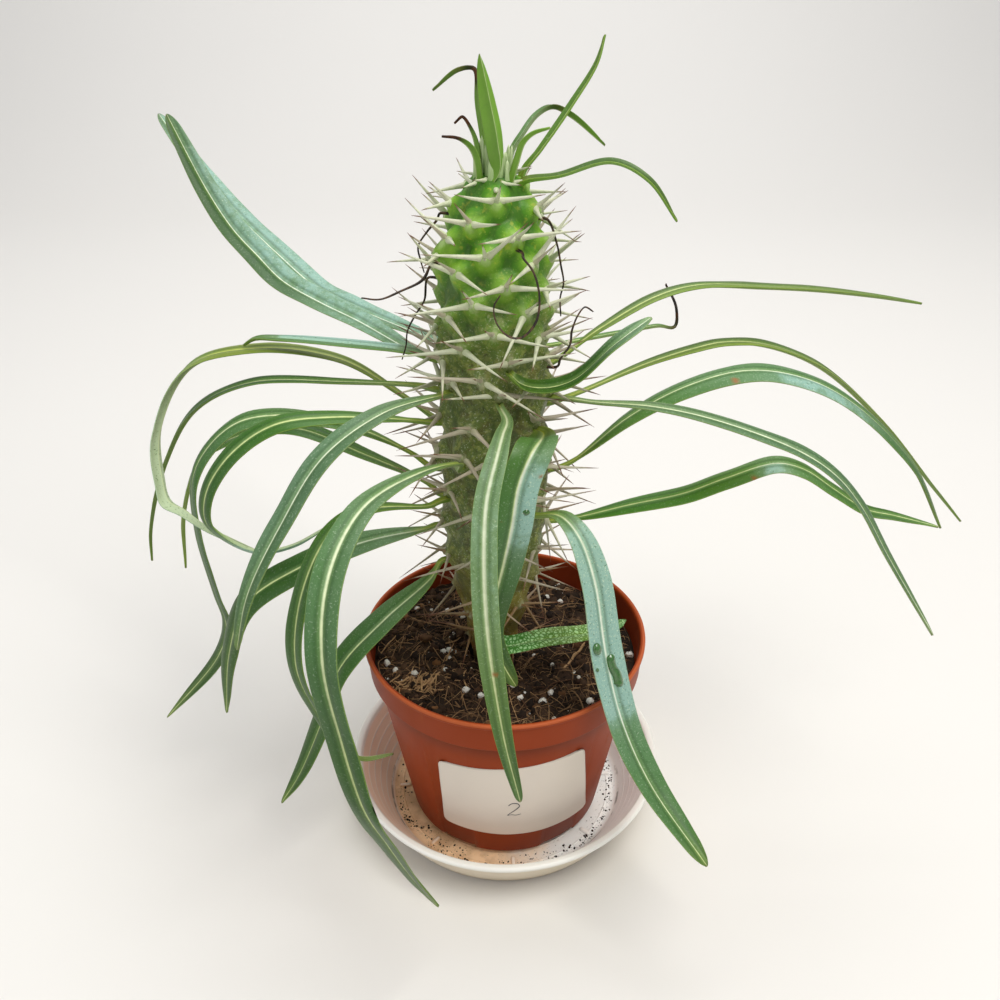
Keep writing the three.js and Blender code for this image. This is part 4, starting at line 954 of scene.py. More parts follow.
def saucer_plastic(colours):
    """White moulded plastic: a clean lip, a tan film on the wall and a floor stained most at the left, with
    painted cool light on the right of the floor and wall and painted warm shade on the outer wall below the
    lip.
    """
    finish = Finish("saucer_plastic")
    height = finish.along("Z")
    out = finish.out()
    patches = finish.noise(11, 4, 0.62)
    fine = finish.noise(1.3, 3, 0.65)
    blots = finish.band(patches, 0.42, 0.6)
    # right: the saucer's right side, where painted cool light falls: a bluish white on the floor and a
    # whiter film on the wall; the floor's stain also thins out there
    right = finish.band(finish.along("X") + (patches - 0.5) * 40, -12, 28)
    inner = 1 - finish.band(out - height * 0.6, 52.6, 54.2)
    floor = inner * (1 - finish.band(height, 2.8, 3.6))
    wall = inner * (1 - floor) * (1 - finish.band(height + (patches - 0.5) * 2, 23.4, 24.6))
    # The wall's film: tan at the left, with a painted whiter light at the right
    film = finish.mix(right, "#ffe3c8", "#fdf9f4")
    lines = finish.band(((height - 3.3) * (TAU / 4)).sine() * 0.5 + 0.5, 0.86, 0.99)
    low = wall * (1 - finish.band(abs(height - 4.4), 0.3, 1.1))
    stain = floor * (1 - right * 0.86)
    # Painted warm shade on the outer wall below the lip
    painted_outer_shade = (1 - inner) * (1 - finish.band(height, 21, 24.5))
    specks = finish.band(fine, 0.63, 0.72) * floor
    base = finish.coats(
        colours.saucer,
        # Painted cool light on the right of the floor
        (right * floor, "#f2f7f8"),
        (wall * (0.7 + 0.3 * patches), film),
        (wall * lines * 0.8, "#fffaf2"),
        (low * blots * 0.7, "#5a4030"),
        (stain * (0.75 + 0.25 * fine), colours.saucer_stain),
        (stain * blots * 0.45, "#b98a5c"),
        # Painted warm shade on the outer wall
        (painted_outer_shade * 0.75, "#d8c6a6"),
        # Painted shade, darker towards the foot of the outer wall
        ((1 - inner) * (1 - finish.band(height, 1, 9)) * 0.5, "#a98f6c"),
        (specks * 0.6, "#3a281b"))
    return finish.done({
        "Base Color": base,
        "Roughness": 0.34 + 0.3 * stain + 0.1 * fine,
        "Normal": finish.bump(fine, 0.05, 0.4),
    })


def pot_plastic(colours):
    """Terracotta plastic with a fine moulded grain, a paler rim that is a painted highlight along its top
    outer edge, painted shadow under the collar and a damp inside.
    """
    finish = Finish("pot_plastic")
    height = finish.along("Z")
    inside = finish.at_point("inside")
    clouds = finish.noise(22, 3, 0.55)
    marks = finish.band(finish.noise(7, 4, 0.7, (1, 1, 0.35)), 0.56, 0.75)
    low = 1 - finish.band(height, 5, 24)
    # rim: a painted highlight along the top outer edge of the rim
    rim = finish.band(height, 92.6, 93.4) * finish.band(finish.out(), 58.6, 59.2)
    # Painted shadow on the wall just under the collar
    painted_collar_shadow = finish.band(height, 68, 79) * (1 - finish.band(height, 79.2, 79.9)) * (1 - inside)
    base = finish.coats(
        colours.pot,
        (clouds * 0.4, "#7a3013"),
        (marks * 0.12, "#c07a50"),
        (low * (0.2 + 0.3 * clouds), "#4c2010"),
        (inside * 0.75, colours.pot_inside),
        # Painted highlight on the rim
        (rim * (0.4 + 0.5 * clouds), "#c8683d"),
        # Painted shadow under the collar
        (painted_collar_shadow * 0.5, "#4a1c08"))
    grain = finish.noise(0.7, 2, 0.6)
    lines = (height * 5.2).sine() * 0.5 + 0.5
    return finish.done({
        "Base Color": base,
        "Roughness": 0.4 + 0.14 * clouds + 0.12 * marks,
        "Normal": finish.bump(grain * 0.7 + lines * 0.12, 0.06, 0.5),
        "Specular IOR Level": 0.16,
    })


def label_paper(colours):
    """Uncoated paper: fine fibres, faint creases and a little soiling at its lower edge."""
    finish = Finish("label_paper")
    fibres = finish.noise(0.8, 3, 0.65, (1, 1, 0.5))
    clouds = finish.noise(18, 3)
    creases = finish.noise(9, stretch=(0.5, 0.5, 1.6))
    low = 1 - finish.band(finish.along("Z"), 14, 24)
    base = finish.coats(
        colours.paper,
        (clouds * 0.35, "#d8cdc4"),
        (low * clouds * 0.4, "#b8a48f"),
        (finish.band(fibres, 0.6, 0.8) * 0.12, "#b7a99c"))
    return finish.done({
        "Base Color": base,
        "Roughness": 0.72 + 0.12 * fibres,
        "Normal": finish.bump(creases + 0.12 * fibres, 0.25, 0.35),
    })


def pen_ink(colours):
    """Dark ball-pen ink that is thinner in places."""
    finish = Finish("pen_ink")
    worn = finish.noise(0.5)
    return finish.done({
        "Base Color": finish.mix(worn * 0.35, colours.ink, "#6a6a70"),
        "Roughness": 0.5 + 0.1 * worn,
    })


def soil_peat(colours):
    """Peat, whose tone is held at the points of each crumb or fibre."""
    finish = Finish("soil_peat")
    tone = finish.at_point("tone")
    patches = finish.noise(9, 4, 0.6)
    grit = finish.noise(1.2, 4, 0.7)
    base = finish.coats(
        colours.soil,
        (patches * 0.6, "#38261a"),
        (tone, colours.soil_light),
        (finish.band(grit, 0.6, 0.78) * 0.3, "#8a6a4d"))
    return finish.done({
        "Base Color": base,
        "Roughness": 0.82 + 0.15 * grit,
        "Normal": finish.bump(grit, 0.7, 0.8),
        "Specular IOR Level": 0.25,
    })


def soil_fibre(colours):
    """Dry roots and fibres, from tan to dark brown."""
    finish = Finish("soil_fibre")
    tone = finish.at_point("tone")
    grain = finish.noise(1.6, 3, 0.6)
    base = finish.coats(
        "#3a2214",
        (tone, colours.fibre),
        (grain * 0.35, "#6b4a30"))
    return finish.done({
        "Base Color": base,
        "Roughness": 0.75 + 0.1 * grain,
        "Normal": finish.bump(grain, 0.15, 0.6),
        "Specular IOR Level": 0.3,
    })


def soil_bark(colours):
    """Chips of bark, from brown to tan, streaked along their length."""
    finish = Finish("soil_bark")
    tone = finish.at_point("tone")
    streaks = finish.noise(1.1, 4, 0.65, (1, 0.3, 1))
    base = finish.mix(tone, "#3a2315", "#96683f")
    return finish.done({
        "Base Color": finish.mix(streaks * 0.6, base, "#20130b"),
        "Roughness": 0.7 + 0.2 * streaks,
        "Normal": finish.bump(streaks, 0.4, 0.8),
        "Specular IOR Level": 0.3,
    })


def perlite_grain(colours):
    """White porous grains, dusty with soil."""
    finish = Finish("perlite_grain")
    pores = finish.cells(0.55)
    dust = finish.band(finish.noise(1.1, 3), 0.5, 0.75)
    return finish.done({
        "Base Color": finish.mix(dust * 0.4, colours.perlite, "#a58a6b"),
        "Roughness": 0.85 - 0.1 * dust,
        "Normal": finish.bump(pores, 0.3, 0.8),
    })


def stem_bark(colours):
    """Green skin: vivid green at the top, dull and finely speckled in the middle, brown at the soil, with
    painted highlights on the bumps and painted shade in the furrows between them.
    """
    finish = Finish("stem_bark")
    height = finish.along("Z")
    raised = finish.at_point("raised")
    areole = finish.at_point("areole")
    patches = finish.noise(8, 4, 0.62)
    mottle = finish.noise(2.6, 4, 0.65)
    grain = finish.noise(0.8, 3, 0.7)
    wander = height + (patches - 0.5) * 34
    young = finish.band(wander, 214, 262)
    low = 1 - finish.band(wander, 104, 150)
    foot = 1 - finish.band(wander, 86, 100)
    # Painted highlight on the tops of the bumps
    painted_bump_highlight = finish.band(raised + (mottle - 0.5) * 0.7, 0.25, 0.95)
    yellow = finish.band(finish.noise(4, 3, 0.6), 0.58, 0.68)
    brown = finish.band(finish.noise(1.2, 3, 0.6, (1, 1, 0.7)), 0.58, 0.68)
    shade = (1 - finish.band(raised, 0, 0.22)) * 0.4
    film = finish.band(areole + (mottle - 0.5) * 0.9, 0.15, 1)
    skin = finish.coats(
        colours.stem,
        (young, "#4a8414"),
        # Painted highlight on the bumps near the top
        (young * painted_bump_highlight * 0.6, colours.young_stem_highlight),
        (young * yellow * 0.5, "#b3b93c"),
        ((1 - young) * finish.band(mottle, 0.46, 0.62) * 0.75, "#929a4c"),
        ((1 - young) * finish.band(patches, 0.5, 0.62) * 0.5, "#5b4d22"),
        (low * (0.35 + 0.6 * patches), colours.stem_cork),
        (foot * 0.8, "#8a5226"),
        (finish.band(grain, 0.56, 0.68) * (1 - young) * 0.7, "#c3c7a4"),
        (finish.band(grain, 0.58, 0.7) * young * 0.4, "#b9cc5c"),
        (brown * (1 - young) * 0.6, "#4a3a1c"),
        (shade, "#1f380c"),
        (film * (0.75 - 0.15 * young), finish.mix(young, "#b9b896", "#bed592")))
    pores = finish.cells(0.9)
    lines = finish.noise(1.5, 3, 0.6, (1, 1, 0.25))
    return finish.done({
        "Base Color": skin,
        "Roughness": 0.44 + 0.16 * low + 0.12 * mottle,
        "Normal": finish.bump(lines * 0.6 + pores * 0.4 + grain * 0.3, 0.3, 0.55),
        "Specular IOR Level": 0.4,
    })


def spine_horn(colours):
    """Pale horny spines that turn brown close to the tip, greyer low on the stem."""
    finish = Finish("spine_horn")
    reach = finish.at_point("reach")
    tone = finish.at_point("tone")
    grain = finish.noise(1.2, 3, 0.6)
    tip = finish.band(reach + tone * 0.22 + (grain - 0.5) * 0.15, 0.74, 0.96)
    base = finish.coats(
        colours.spine,
        (finish.band(tone, 0.05, 0.35), "#b9ad98"),
        (finish.band(tone, 0.4, 0.9), "#96754f"),
        ((1 - finish.band(reach, 0.05, 0.3)) * (1 - tone) * 0.4, "#c2cf9a"),
        (finish.band(grain, 0.55, 0.75) * 0.25, "#8d8068"),
        (tip, colours.spine_tip))
    return finish.done({
        "Base Color": base,
        "Roughness": 0.42 + 0.15 * grain,
        "Normal": finish.bump(grain, 0.12, 0.5),
    })


def areole_wool(colours):
    """Short felt round the roots of the spines."""
    finish = Finish("areole_wool")
    hairs = finish.noise(0.45, 3, 0.7)
    tone = finish.at_point("tone")
    base = finish.mix(tone, colours.wool, "#8a7458")
    return finish.done({
        "Base Color": finish.mix(hairs * 0.5, base, "#8f9a6a"),
        "Roughness": 0.9 + 0.05 * hairs,
        "Normal": finish.bump(hairs, 0.3, 0.9),
        "Sheen Weight": 0.3,
    })


def bud_skin(colours):
    """Soft pale-green bracts, whitish at their edges."""
    finish = Finish("bud_skin")
    reach = finish.at_point("reach")
    streaks = finish.noise(0.9, 3, 0.6, (1, 1, 0.3))
    base = finish.mix(reach, colours.young_leaf, "#c4d3a2")
    return finish.done({
        "Base Color": finish.mix(streaks * 0.5, base, "#dfe6c4"),
        "Roughness": 0.5 + 0.15 * streaks,
        "Normal": finish.bump(streaks, 0.15, 0.6),
    })


def leaf_blade(colours, name, green, under_green, net_light_and_shade=0.0):
    """A leaf: pale midrib with painted shade beside it, light and dark specks in a silvery bloom that is
    partly a painted sheen of reflected light, painted highlights and shade on a netted leaf's puckers, and a
    paler underside.
    """
    finish = Finish(name)
    side, edge, under, silver_and_sheen, deep, yellow, dry, rib_width, nick = (
        finish.at_point(key) for key in LEAF_VALUES)
    patches = finish.noise(12, 3, 0.55)
    clouds = finish.noise(3.2, 3, 0.6)
    light = finish.band(finish.noise(0.7, 3, 0.65), 0.56, 0.7)
    dark = finish.band(finish.noise(0.95, 3, 0.6, (1, 1, 1.3)), 0.58, 0.7)
    deepness = (deep * (0.55 + 0.5 * patches + 0.4 * clouds)).at_most(1)
    # Share of the silvery colour, partly a real bloom and partly a painted sheen of reflected light
    bloom_and_sheen = (silver_and_sheen * (0.3 + 0.5 * patches + 0.6 * clouds)).at_most(0.92)
    width = rib_width * 0.29 + (clouds - 0.5) * 0.14
    rib = 1 - finish.band(side, width * 0.3, width * 1.5)
    glow = 1 - finish.band(side, 0.3, 2.2)
    # beside: painted shade in a band along each side of the midrib
    beside = finish.band(side, 0.9, 1.6) * (1 - finish.band(side, 1.6, 3))
    pale_rib = finish.coats(
        colours.midrib,
        ((silver_and_sheen * 1.6).at_most(1), "#eaf1e0"),
        ((yellow * 1.8).at_most(1), "#b5bd4c"))
    rim = 1 - finish.band(edge, 0.06, 0.25)
    back = finish.coats(
        under_green,
        (clouds * 0.3, "#9fb65a"),
        (deepness * 0.55, "#33580f"),
        ((silver_and_sheen * (0.6 + 0.6 * clouds)).at_most(0.92), "#b7c6a3"),
        (dark * (0.12 + 0.7 * silver_and_sheen).at_most(0.85), "#3e5c34"),
        (rib * 0.6, "#c9d3a0"))
    blade = finish.coats(
        green,
        (deepness, colours.leaf_deep),
        (clouds * 0.22, "#6d9c2c"),
        (bloom_and_sheen, colours.leaf_silver_and_sheen),
        # Painted sheen: a pale blue-green where the silvery colour is strongest
        (finish.band(bloom_and_sheen, 0.5, 0.9) * 0.85, "#93b9ad"),
        (light * (0.14 + 0.45 * silver_and_sheen), "#cfe0c4"),
        (dark * (0.3 + 0.25 * silver_and_sheen), "#234a14"),
        ((yellow * (0.6 + 0.6 * patches)).at_most(0.9), colours.leaf_yellow),
        # Painted shade beside the midrib
        (beside * 0.4, colours.leaf_deep),
        (glow * 0.16, "#a5c274"),
        ((rib * (0.5 + 0.7 * clouds)).at_most(0.92), pale_rib),
        (rim * 0.25, "#a8c255"),
        (under, back))
    relief = clouds * 0.6 + light * 0.25
    if net_light_and_shade:
        puffed_and_highlight = finish.band(finish.cells(1.5, "DISTANCE_TO_EDGE"), 0.02, 0.28)
        # Painted highlights on the puckered cells and painted shade in the creases between them
        blade = finish.coats(
            blade,
            (puffed_and_highlight * net_light_and_shade, "#a9d498"),
            ((1 - puffed_and_highlight) * net_light_and_shade * (1 - under), "#2f6d1c"))
        relief = relief + puffed_and_highlight * 3
    spots = finish.band(finish.noise(4.2, 4, 0.7), 0.72, 0.77)
    blade = finish.coats(
        blade,
        (spots * 0.35, "#7a5a2c"),
        (nick * 0.85, "#9a5a28"),
        (dry, finish.mix(finish.band(clouds, 0.4, 0.7), colours.dry_leaf, "#5c3518")))
    return finish.done({
        "Base Color": blade,
        "Roughness": 0.37 + 0.1 * clouds + 0.16 * under + 0.06 * silver_and_sheen + 0.2 * dry,
        "Normal": finish.bump(relief, 0.14, 0.5),
        "Specular IOR Level": 0.32,
    })


def dry_leaf_skin(colours):
    """Shrivelled leaf: dark brown, wrinkled along its length."""
    finish = Finish("dry_leaf_skin")
    wrinkles = finish.noise(1.4, 4, 0.65, (1, 1, 0.4))
    base = finish.mix(finish.band(wrinkles, 0.4, 0.65) * 0.8, colours.dry_leaf, "#66492f")
    return finish.done({
        "Base Color": base,
        "Roughness": 0.55 + 0.2 * wrinkles,
        "Normal": finish.bump(wrinkles, 0.4, 0.8),
    })


def clear_water():
    """Clear water, dark green with the leaf under it."""
    finish = Finish("clear_water")
    swirl = finish.noise(1.2)
    return finish.done({
        "Base Color": finish.mix(swirl, "#2f5f24", "#5f9650"),
        "Roughness": 0.02, "IOR": 1.33, "Transmission Weight": 0.35, "Specular IOR Level": 1.0,
        "Coat Weight": 1.0, "Coat Roughness": 0.02,
        "Normal": finish.bump(swirl, 0.03, 0.2),
    })


def stage_paint(colours):
    """Pale matt floor with a faint unevenness."""
    finish = Finish("stage_paint")
    clouds = finish.noise(300)
    return finish.done({
        "Base Color": finish.mix(clouds * 0.1, colours.stage, "#d8d4ce"),
        "Roughness": 0.8 + 0.05 * clouds,
        "Specular IOR Level": 0.2,
    })


def saucer_profile(size):
    """The saucer's section: foot, flared wall, rolled lip and an inner wall with fine raised lines."""
    lip = size.saucer_radius
    top = size.saucer_height
    inside = lip - SAUCER_LIP_WIDTH
    foot = SAUCER_FOOT_RADIUS
    outer = [(0, 0, 0), (foot, 0, 1), (foot + 2.5, 2, 1.5), (foot + 10, 15, 3), (lip - 0.8, top - 2.4, 0.6),
             (lip, top - 1.2, 0.7), (lip - 0.9, top, 0.7), (inside, top - 0.6, 0.8)]
    wall_foot, wall_low = SAUCER_WALL["foot"]
    slope = (inside - wall_foot) / (top - 0.6 - wall_low)
    wall = [(wall_foot + slope * (height + up - wall_low) - step, height + up, 0.1)
            for height in SAUCER_WALL["lines"]
            for up, step in ((0.5, 0), (0, SAUCER_WALL["relief"]), (-0.5, 0))]
    floor = [(wall_foot, wall_low, 1), (wall_foot - 1.8, SAUCER_FLOOR, 1)]
    ridges = [(ridge - inward, SAUCER_FLOOR + lift, 0.15) for ridge in SAUCER_RIDGES["radii"]
              for inward, lift in ((0, 0), (0.5, SAUCER_RIDGES["height"]), (1, 0))]
    return rounded([*outer, *wall, *floor, *ridges, (0, SAUCER_FLOOR, 0)])


def add_saucer(size, colours):
    """The saucer with the short ribs on its floor, and the soil washed into it."""
    shape = Shape()
    rings = lathe_rings(saucer_profile(size), SAUCER_SIDES)
    shape.add_rings(rings, on_axis(0), on_axis(SAUCER_FLOOR))
    radius = STUB_RIBS["radius"]
    out = np.linspace(STUB_RIBS["start"], STUB_RIBS["end"], STUB_RIBS["points"])
    ends = np.minimum(out - out[0], out[-1] - out)
    radii = radius * np.sqrt(np.clip(ends / radius + 0.15, 0, 1))
    for k in range(STUB_RIBS["count"]):
        azimuth = STUB_RIBS["first_azimuth"] + 360 * k / STUB_RIBS["count"]
        shape.add_rings(tube_rings(polar(out, azimuth, SAUCER_FLOOR + 0.1), radii, STUB_RIBS["sides"]))
    shape.piece("saucer_dish", saucer_plastic(colours), "saucer", "saucer")
    add_saucer_specks(colours)


def add_saucer_specks(colours):
    """Crumbs of soil on the saucer's floor, most of them along the foot of its wall."""
    spec = SAUCER_SPECKS
    draw = np.random.default_rng(spec["seed"])
    count = spec["count"]
    azimuth = draw.uniform(*spec["azimuths"], count)
    stray = draw.random(count) < spec["stray_share"]
    azimuth[stray] = draw.uniform(0, 360, int(stray.sum()))
    wander = 12 * np.sin(np.radians(azimuth * 7))
    clumped = (azimuth + wander) % spec["clump_every"] < spec["clump_width"]
    near, far = (draw.triangular(*spec[key], count) for key in ("clump_radii", "other_radii"))
    out = np.where(clumped, near, far)
    sizes = np.where(clumped, *spec["smallest"]) + spec["growth"] * draw.random(count) ** 4
    bodies, faces = grains(draw, polar(out, azimuth, SAUCER_FLOOR + 0.3 * sizes), sizes, 0.25, 0.5, 1)
    shape = Shape()
    shape.add_copies(bodies, faces, tone=0.4 * draw.random(count) ** 2)
    shape.piece("saucer_specks", soil_peat(colours), "soil")


def pot_profile(size):
    """The pot's section, from the middle of its underside round the rim to its floor inside."""
    rim, bottom = size.pot_radius, size.pot_bottom
    top = bottom + POT_HEIGHT
    collar = top - COLLAR_HEIGHT
    floor = bottom + POT_FLOOR
    foot, shoulder = POT_FOOT_RADIUS, POT_SHOULDER_RADIUS
    return rounded([
        (0, bottom + 1, 0), (foot - 9, bottom + 1, 0.6), (foot - 7.5, bottom, 0.6),
        (foot - 0.6, bottom, 0.6), (foot, bottom + 0.6, 0.6),
        (shoulder, collar, 0.8), (shoulder + COLLAR_STEP, collar + 0.4, 0.7),
        (rim - 0.8, top - 2.2, 0.8), (rim, top - 1.8, 0.5), (rim, top, 0.6), (rim - 1.9, top, 0.7),
        (rim - 2.4, top - 1.8, 1), (shoulder + COLLAR_STEP - 1.6, collar + 2, 1),
        (shoulder - POT_WALL, collar, 1), (pot_wall_radius(size, floor) - POT_WALL, floor, 1), (0, floor, 0),
    ], POT_CORNER_STEPS)


def pot_wall_radius(size, height):
    """The outer radius of the pot's tapered wall."""
    collar = size.pot_bottom + POT_HEIGHT - COLLAR_HEIGHT
    share = (height - size.pot_bottom) / (collar - size.pot_bottom)
    return between((POT_FOOT_RADIUS, POT_SHOULDER_RADIUS), share)


def add_pot(size, colours):
    """The pot, with drain slots in its foot."""
    profile = pot_profile(size)
    rings = lathe_rings(profile, POT_SIDES)
    spacing = 360 / DRAIN_SLOTS["count"]
    azimuth = all_round(POT_SIDES) - DRAIN_SLOTS["first_azimuth"]
    away = np.abs((azimuth + spacing / 2) % spacing - spacing / 2)
    from_slot = np.radians(away) * POT_FOOT_RADIUS - DRAIN_SLOTS["width"] / 2
    lift = DRAIN_SLOTS["height"] * (1 - soft_step(from_slot, -0.8, 0.8))
    foot = (profile[1:-1, 0] > POT_FOOT_RADIUS - 5) & (profile[1:-1, 1] < size.pot_bottom + POT_FLOOR - 0.1)
    rings[foot, :, 2] = np.maximum(rings[foot, :, 2], size.pot_bottom + lift)
    rim_inner_edge = int(np.argmax(profile[:, 1])) + POT_CORNER_STEPS + 1
    inside = (np.arange(len(rings)) > rim_inner_edge).astype(float)[:, None]
    shape = Shape()
    shape.add_rings(rings, on_axis(profile[0][1]), on_axis(profile[-1][1]), inside=inside)
    shape.piece("pot_shell", pot_plastic(colours), "pot", "pot")


def wall_point(size, azimuth, height, lift):
    """A point on the pot's wall, lifted off it."""
    return polar(pot_wall_radius(size, height) + lift, azimuth, height)


def label_point(size, u, v, lift):
    """A point on the label, from its left edge (u) and its lower edge (v), lifted off the pot's wall."""
    (x0, z0), (x1, z1), (x2, z2), (x3, z3) = LABEL_CORNERS
    left = x0 + (x3 - x0) * v
    right = x1 + (x2 - x1) * v
    missing = np.maximum(LABEL["corner"] - np.minimum(v, 1 - v) * (z3 - z0), 0)
    inset = LABEL["corner"] - np.sqrt(LABEL["corner"] ** 2 - missing ** 2)
    along = left + inset + (right - left - 2 * inset) * u
    share = (along - left) / (right - left)
    height = (1 - share) * (z0 + (z3 - z0) * v) + share * (z1 + (z2 - z1) * v)
    azimuth = LABEL["azimuth"] + np.degrees(along / pot_wall_radius(size, height))
    return wall_point(size, azimuth, height, lift)


def add_label(size, colours):
    """The label, a sheet of paper stuck on the pot, and the numeral written on it."""
    u = np.linspace(0, 1, LABEL["columns"])
    v = (0.5 - 0.5 * np.cos(np.linspace(0, math.pi, LABEL["rows"])))[:, None]
    ripple = LABEL["ripple"] * lumps(label_point(size, u, v, 0), LABEL["ripple_size"])
    back = label_point(size, u, v, LABEL_GAP)
    front = label_point(size, u, v, LABEL_GAP + LABEL["thick"] + ripple - LABEL["ripple"])
    rings = np.concatenate([back, front[:, ::-1]], axis=1)
    shape = Shape()
    shape.add_rings(rings)
    shape.piece("label_sheet", label_paper(colours), "label", "label")
    add_numeral(size, colours)


def add_numeral(size, colours):
    """A plain numeral in pen, along one curved stroke."""
    stroke = catmull_rom([(x, y, 0) for x, y in NUMERAL])
    stroke, _ = points_along(stroke, np.linspace(0, 1, NUMERAL_POINTS))
    height = NUMERAL_MIDDLE + stroke[:, 1] * NUMERAL_HEIGHT
    azimuth = NUMERAL_AZIMUTH + np.degrees(stroke[:, 0] * NUMERAL_HEIGHT / pot_wall_radius(size, height))
    route = wall_point(size, azimuth, height, LABEL_GAP + LABEL["thick"])
    press = PEN_RADIUS * (0.8 + 0.3 * np.sin(np.linspace(0.4, 5.5, len(route))))
    press[[0, -1]] *= 0.4
    shape = Shape()
    shape.add_rings(tube_rings(route, press, PEN_SIDES))
    shape.piece("label_numeral", pen_ink(colours), "label")


def soil_height(x, y):
    """The height of the soil's uneven top."""
    out = np.hypot(x, y)
    waves = (0.5 * np.sin(0.17 * x + 1.1) * np.cos(0.15 * y - 0.4) + 0.35 * np.sin(0.41 * x - 0.33 * y)
             + 0.3 * np.cos(0.52 * y + 0.29 * x + 2))
    flat = np.stack(np.broadcast_arrays(x, y, 0.0), axis=-1)
    clods = 0.9 * lumps(flat, 6.5) + 0.6 * lumps(flat, 2.6, 4) + 0.35 * lumps(flat, 1.2, 9)
    at_edge = 1 - soft_step(out, 49, 56)
    return smooth(SOIL_PROFILE, out) + (SOIL_RELIEF * waves + clods) * (0.25 + 0.75 * at_edge)


def on_soil(out, azimuth):
    """A point on the soil's top, where out is the distance from its middle, at the stem near the stem."""
    point = polar(out, azimuth, 0.0)
    point[..., 0] += smooth(STEM_LEAN, SOIL_TOP) * soft_step(out, SOIL_LEANS_WITHIN, SOIL_HOLE_RADIUS)
    point[..., 2] = soil_height(point[..., 0], point[..., 1])
    return point


def add_soil(size, colours):
    """The soil's body with its clods, then crumbs, white grains and fibres on it."""
    azimuth = all_round(SOIL_SIDES)
    near = SOIL_HOLE_RADIUS + 3
    open_soil = np.linspace(SOIL_EDGE_RADIUS, near, SOIL_RINGS)
    out = np.concatenate([open_soil, np.linspace(near - 1, SOIL_HOLE_RADIUS, 3)])
    top = on_soil(out[:, None], azimuth)
    wall = POT_WALL + 0.5
    low = polar(pot_wall_radius(size, SOIL_BOTTOM) - wall, azimuth, SOIL_BOTTOM)
    shoulder_height = size.pot_bottom + POT_HEIGHT - COLLAR_HEIGHT - 1
    shoulder = polar(pot_wall_radius(size, shoulder_height) - wall, azimuth, shoulder_height)
    hole = polar(SOIL_HOLE_RADIUS - 3, azimuth, SOIL_HOLE_BOTTOM)
    hole[..., 0] += smooth(STEM_LEAN, SOIL_HOLE_BOTTOM)
    rings = np.concatenate([low[None], shoulder[None], top, hole[None]])
    shape = Shape()
    tone = np.clip(0.12 + 0.25 * lumps(rings, 5, 2), 0, 1)
    shape.add_rings(rings, on_axis(SOIL_BOTTOM), on_axis(SOIL_HOLE_BOTTOM), tone=tone)
    shape.piece("soil_body", soil_peat(colours), "soil", "soil")
    add_crumbs(colours)
    add_fibres(colours)


def soil_places(draw, count, sizes, sink):
    """Random places on the soil between the stem and the pot, each sunk a share of its size."""
    out = np.sqrt(draw.uniform((SOIL_HOLE_RADIUS - 0.5) ** 2, (SOIL_EDGE_RADIUS - 1.5) ** 2, count))
    places = on_soil(out, draw.uniform(0, 360, count))
    places[:, 2] -= sink * sizes
    return places


def add_crumbs(colours):
    """Crumbs of peat, chips of bark and grains of perlite."""
    for name, spec, finish in (("soil_crumbs", CRUMBS, soil_peat(colours)),
                               ("soil_bark", BARK, soil_bark(colours)),
                               ("soil_perlite", PERLITE, perlite_grain(colours))):
        draw = np.random.default_rng(spec["seed"])
        count = spec["count"]
        sizes = between(spec["sizes"], draw.random(count) ** 3)
        places = soil_places(draw, count, sizes, 0.1)
        if spec is PERLITE:
            x, y = np.array(PERLITE_PLACES, dtype=float).T
            places[:len(x)] = np.stack([x, y, soil_height(x, y) + 0.3], axis=-1)
            sizes[:len(x)] = draw.uniform(*PLACED_PERLITE, len(x))
        bodies, faces = grains(draw, places, sizes, spec["rough"], spec["flat"])
        shape = Shape()
        shape.add_copies(bodies, faces, tone=draw.random(count) ** 2.5)
        shape.piece(name, finish, "soil")


def keep_within(route, radius):
    """Pull a route back inside a circle round the pot's axis."""
    out = np.hypot(route[:, 0], route[:, 1])
    route[:, :2] *= (np.minimum(out, radius) / out)[:, None]


def add_fibres(colours):
    """Roots and fibres, a tuft of dry chips, and a few twigs."""
    draw = np.random.default_rng(FIBRES["seed"])
    shape = Shape()
    for place in soil_places(draw, FIBRES["count"], 0.0, 0.0):
        add_root(shape, draw, place)
    for _ in range(TUFT["count"]):
        add_chip(shape, draw)
    for twig in TWIGS:
        x, y = catmull_rom([(*place, 0) for place in twig["places"]], 8)[:, :2].T
        route = np.stack([x, y, soil_height(x, y) + twig["radius"] * 0.6], axis=-1)
        knots = twig["radius"] * (0.8 + 0.35 * lumps(route, 2.5, 6))
        knots[[0, -1]] *= 0.5
        shape.add_rings(tube_rings(route, knots, TWIG_SIDES), tone=twig["tone"])
    shape.piece("soil_fibres", soil_fibre(colours), "soil")


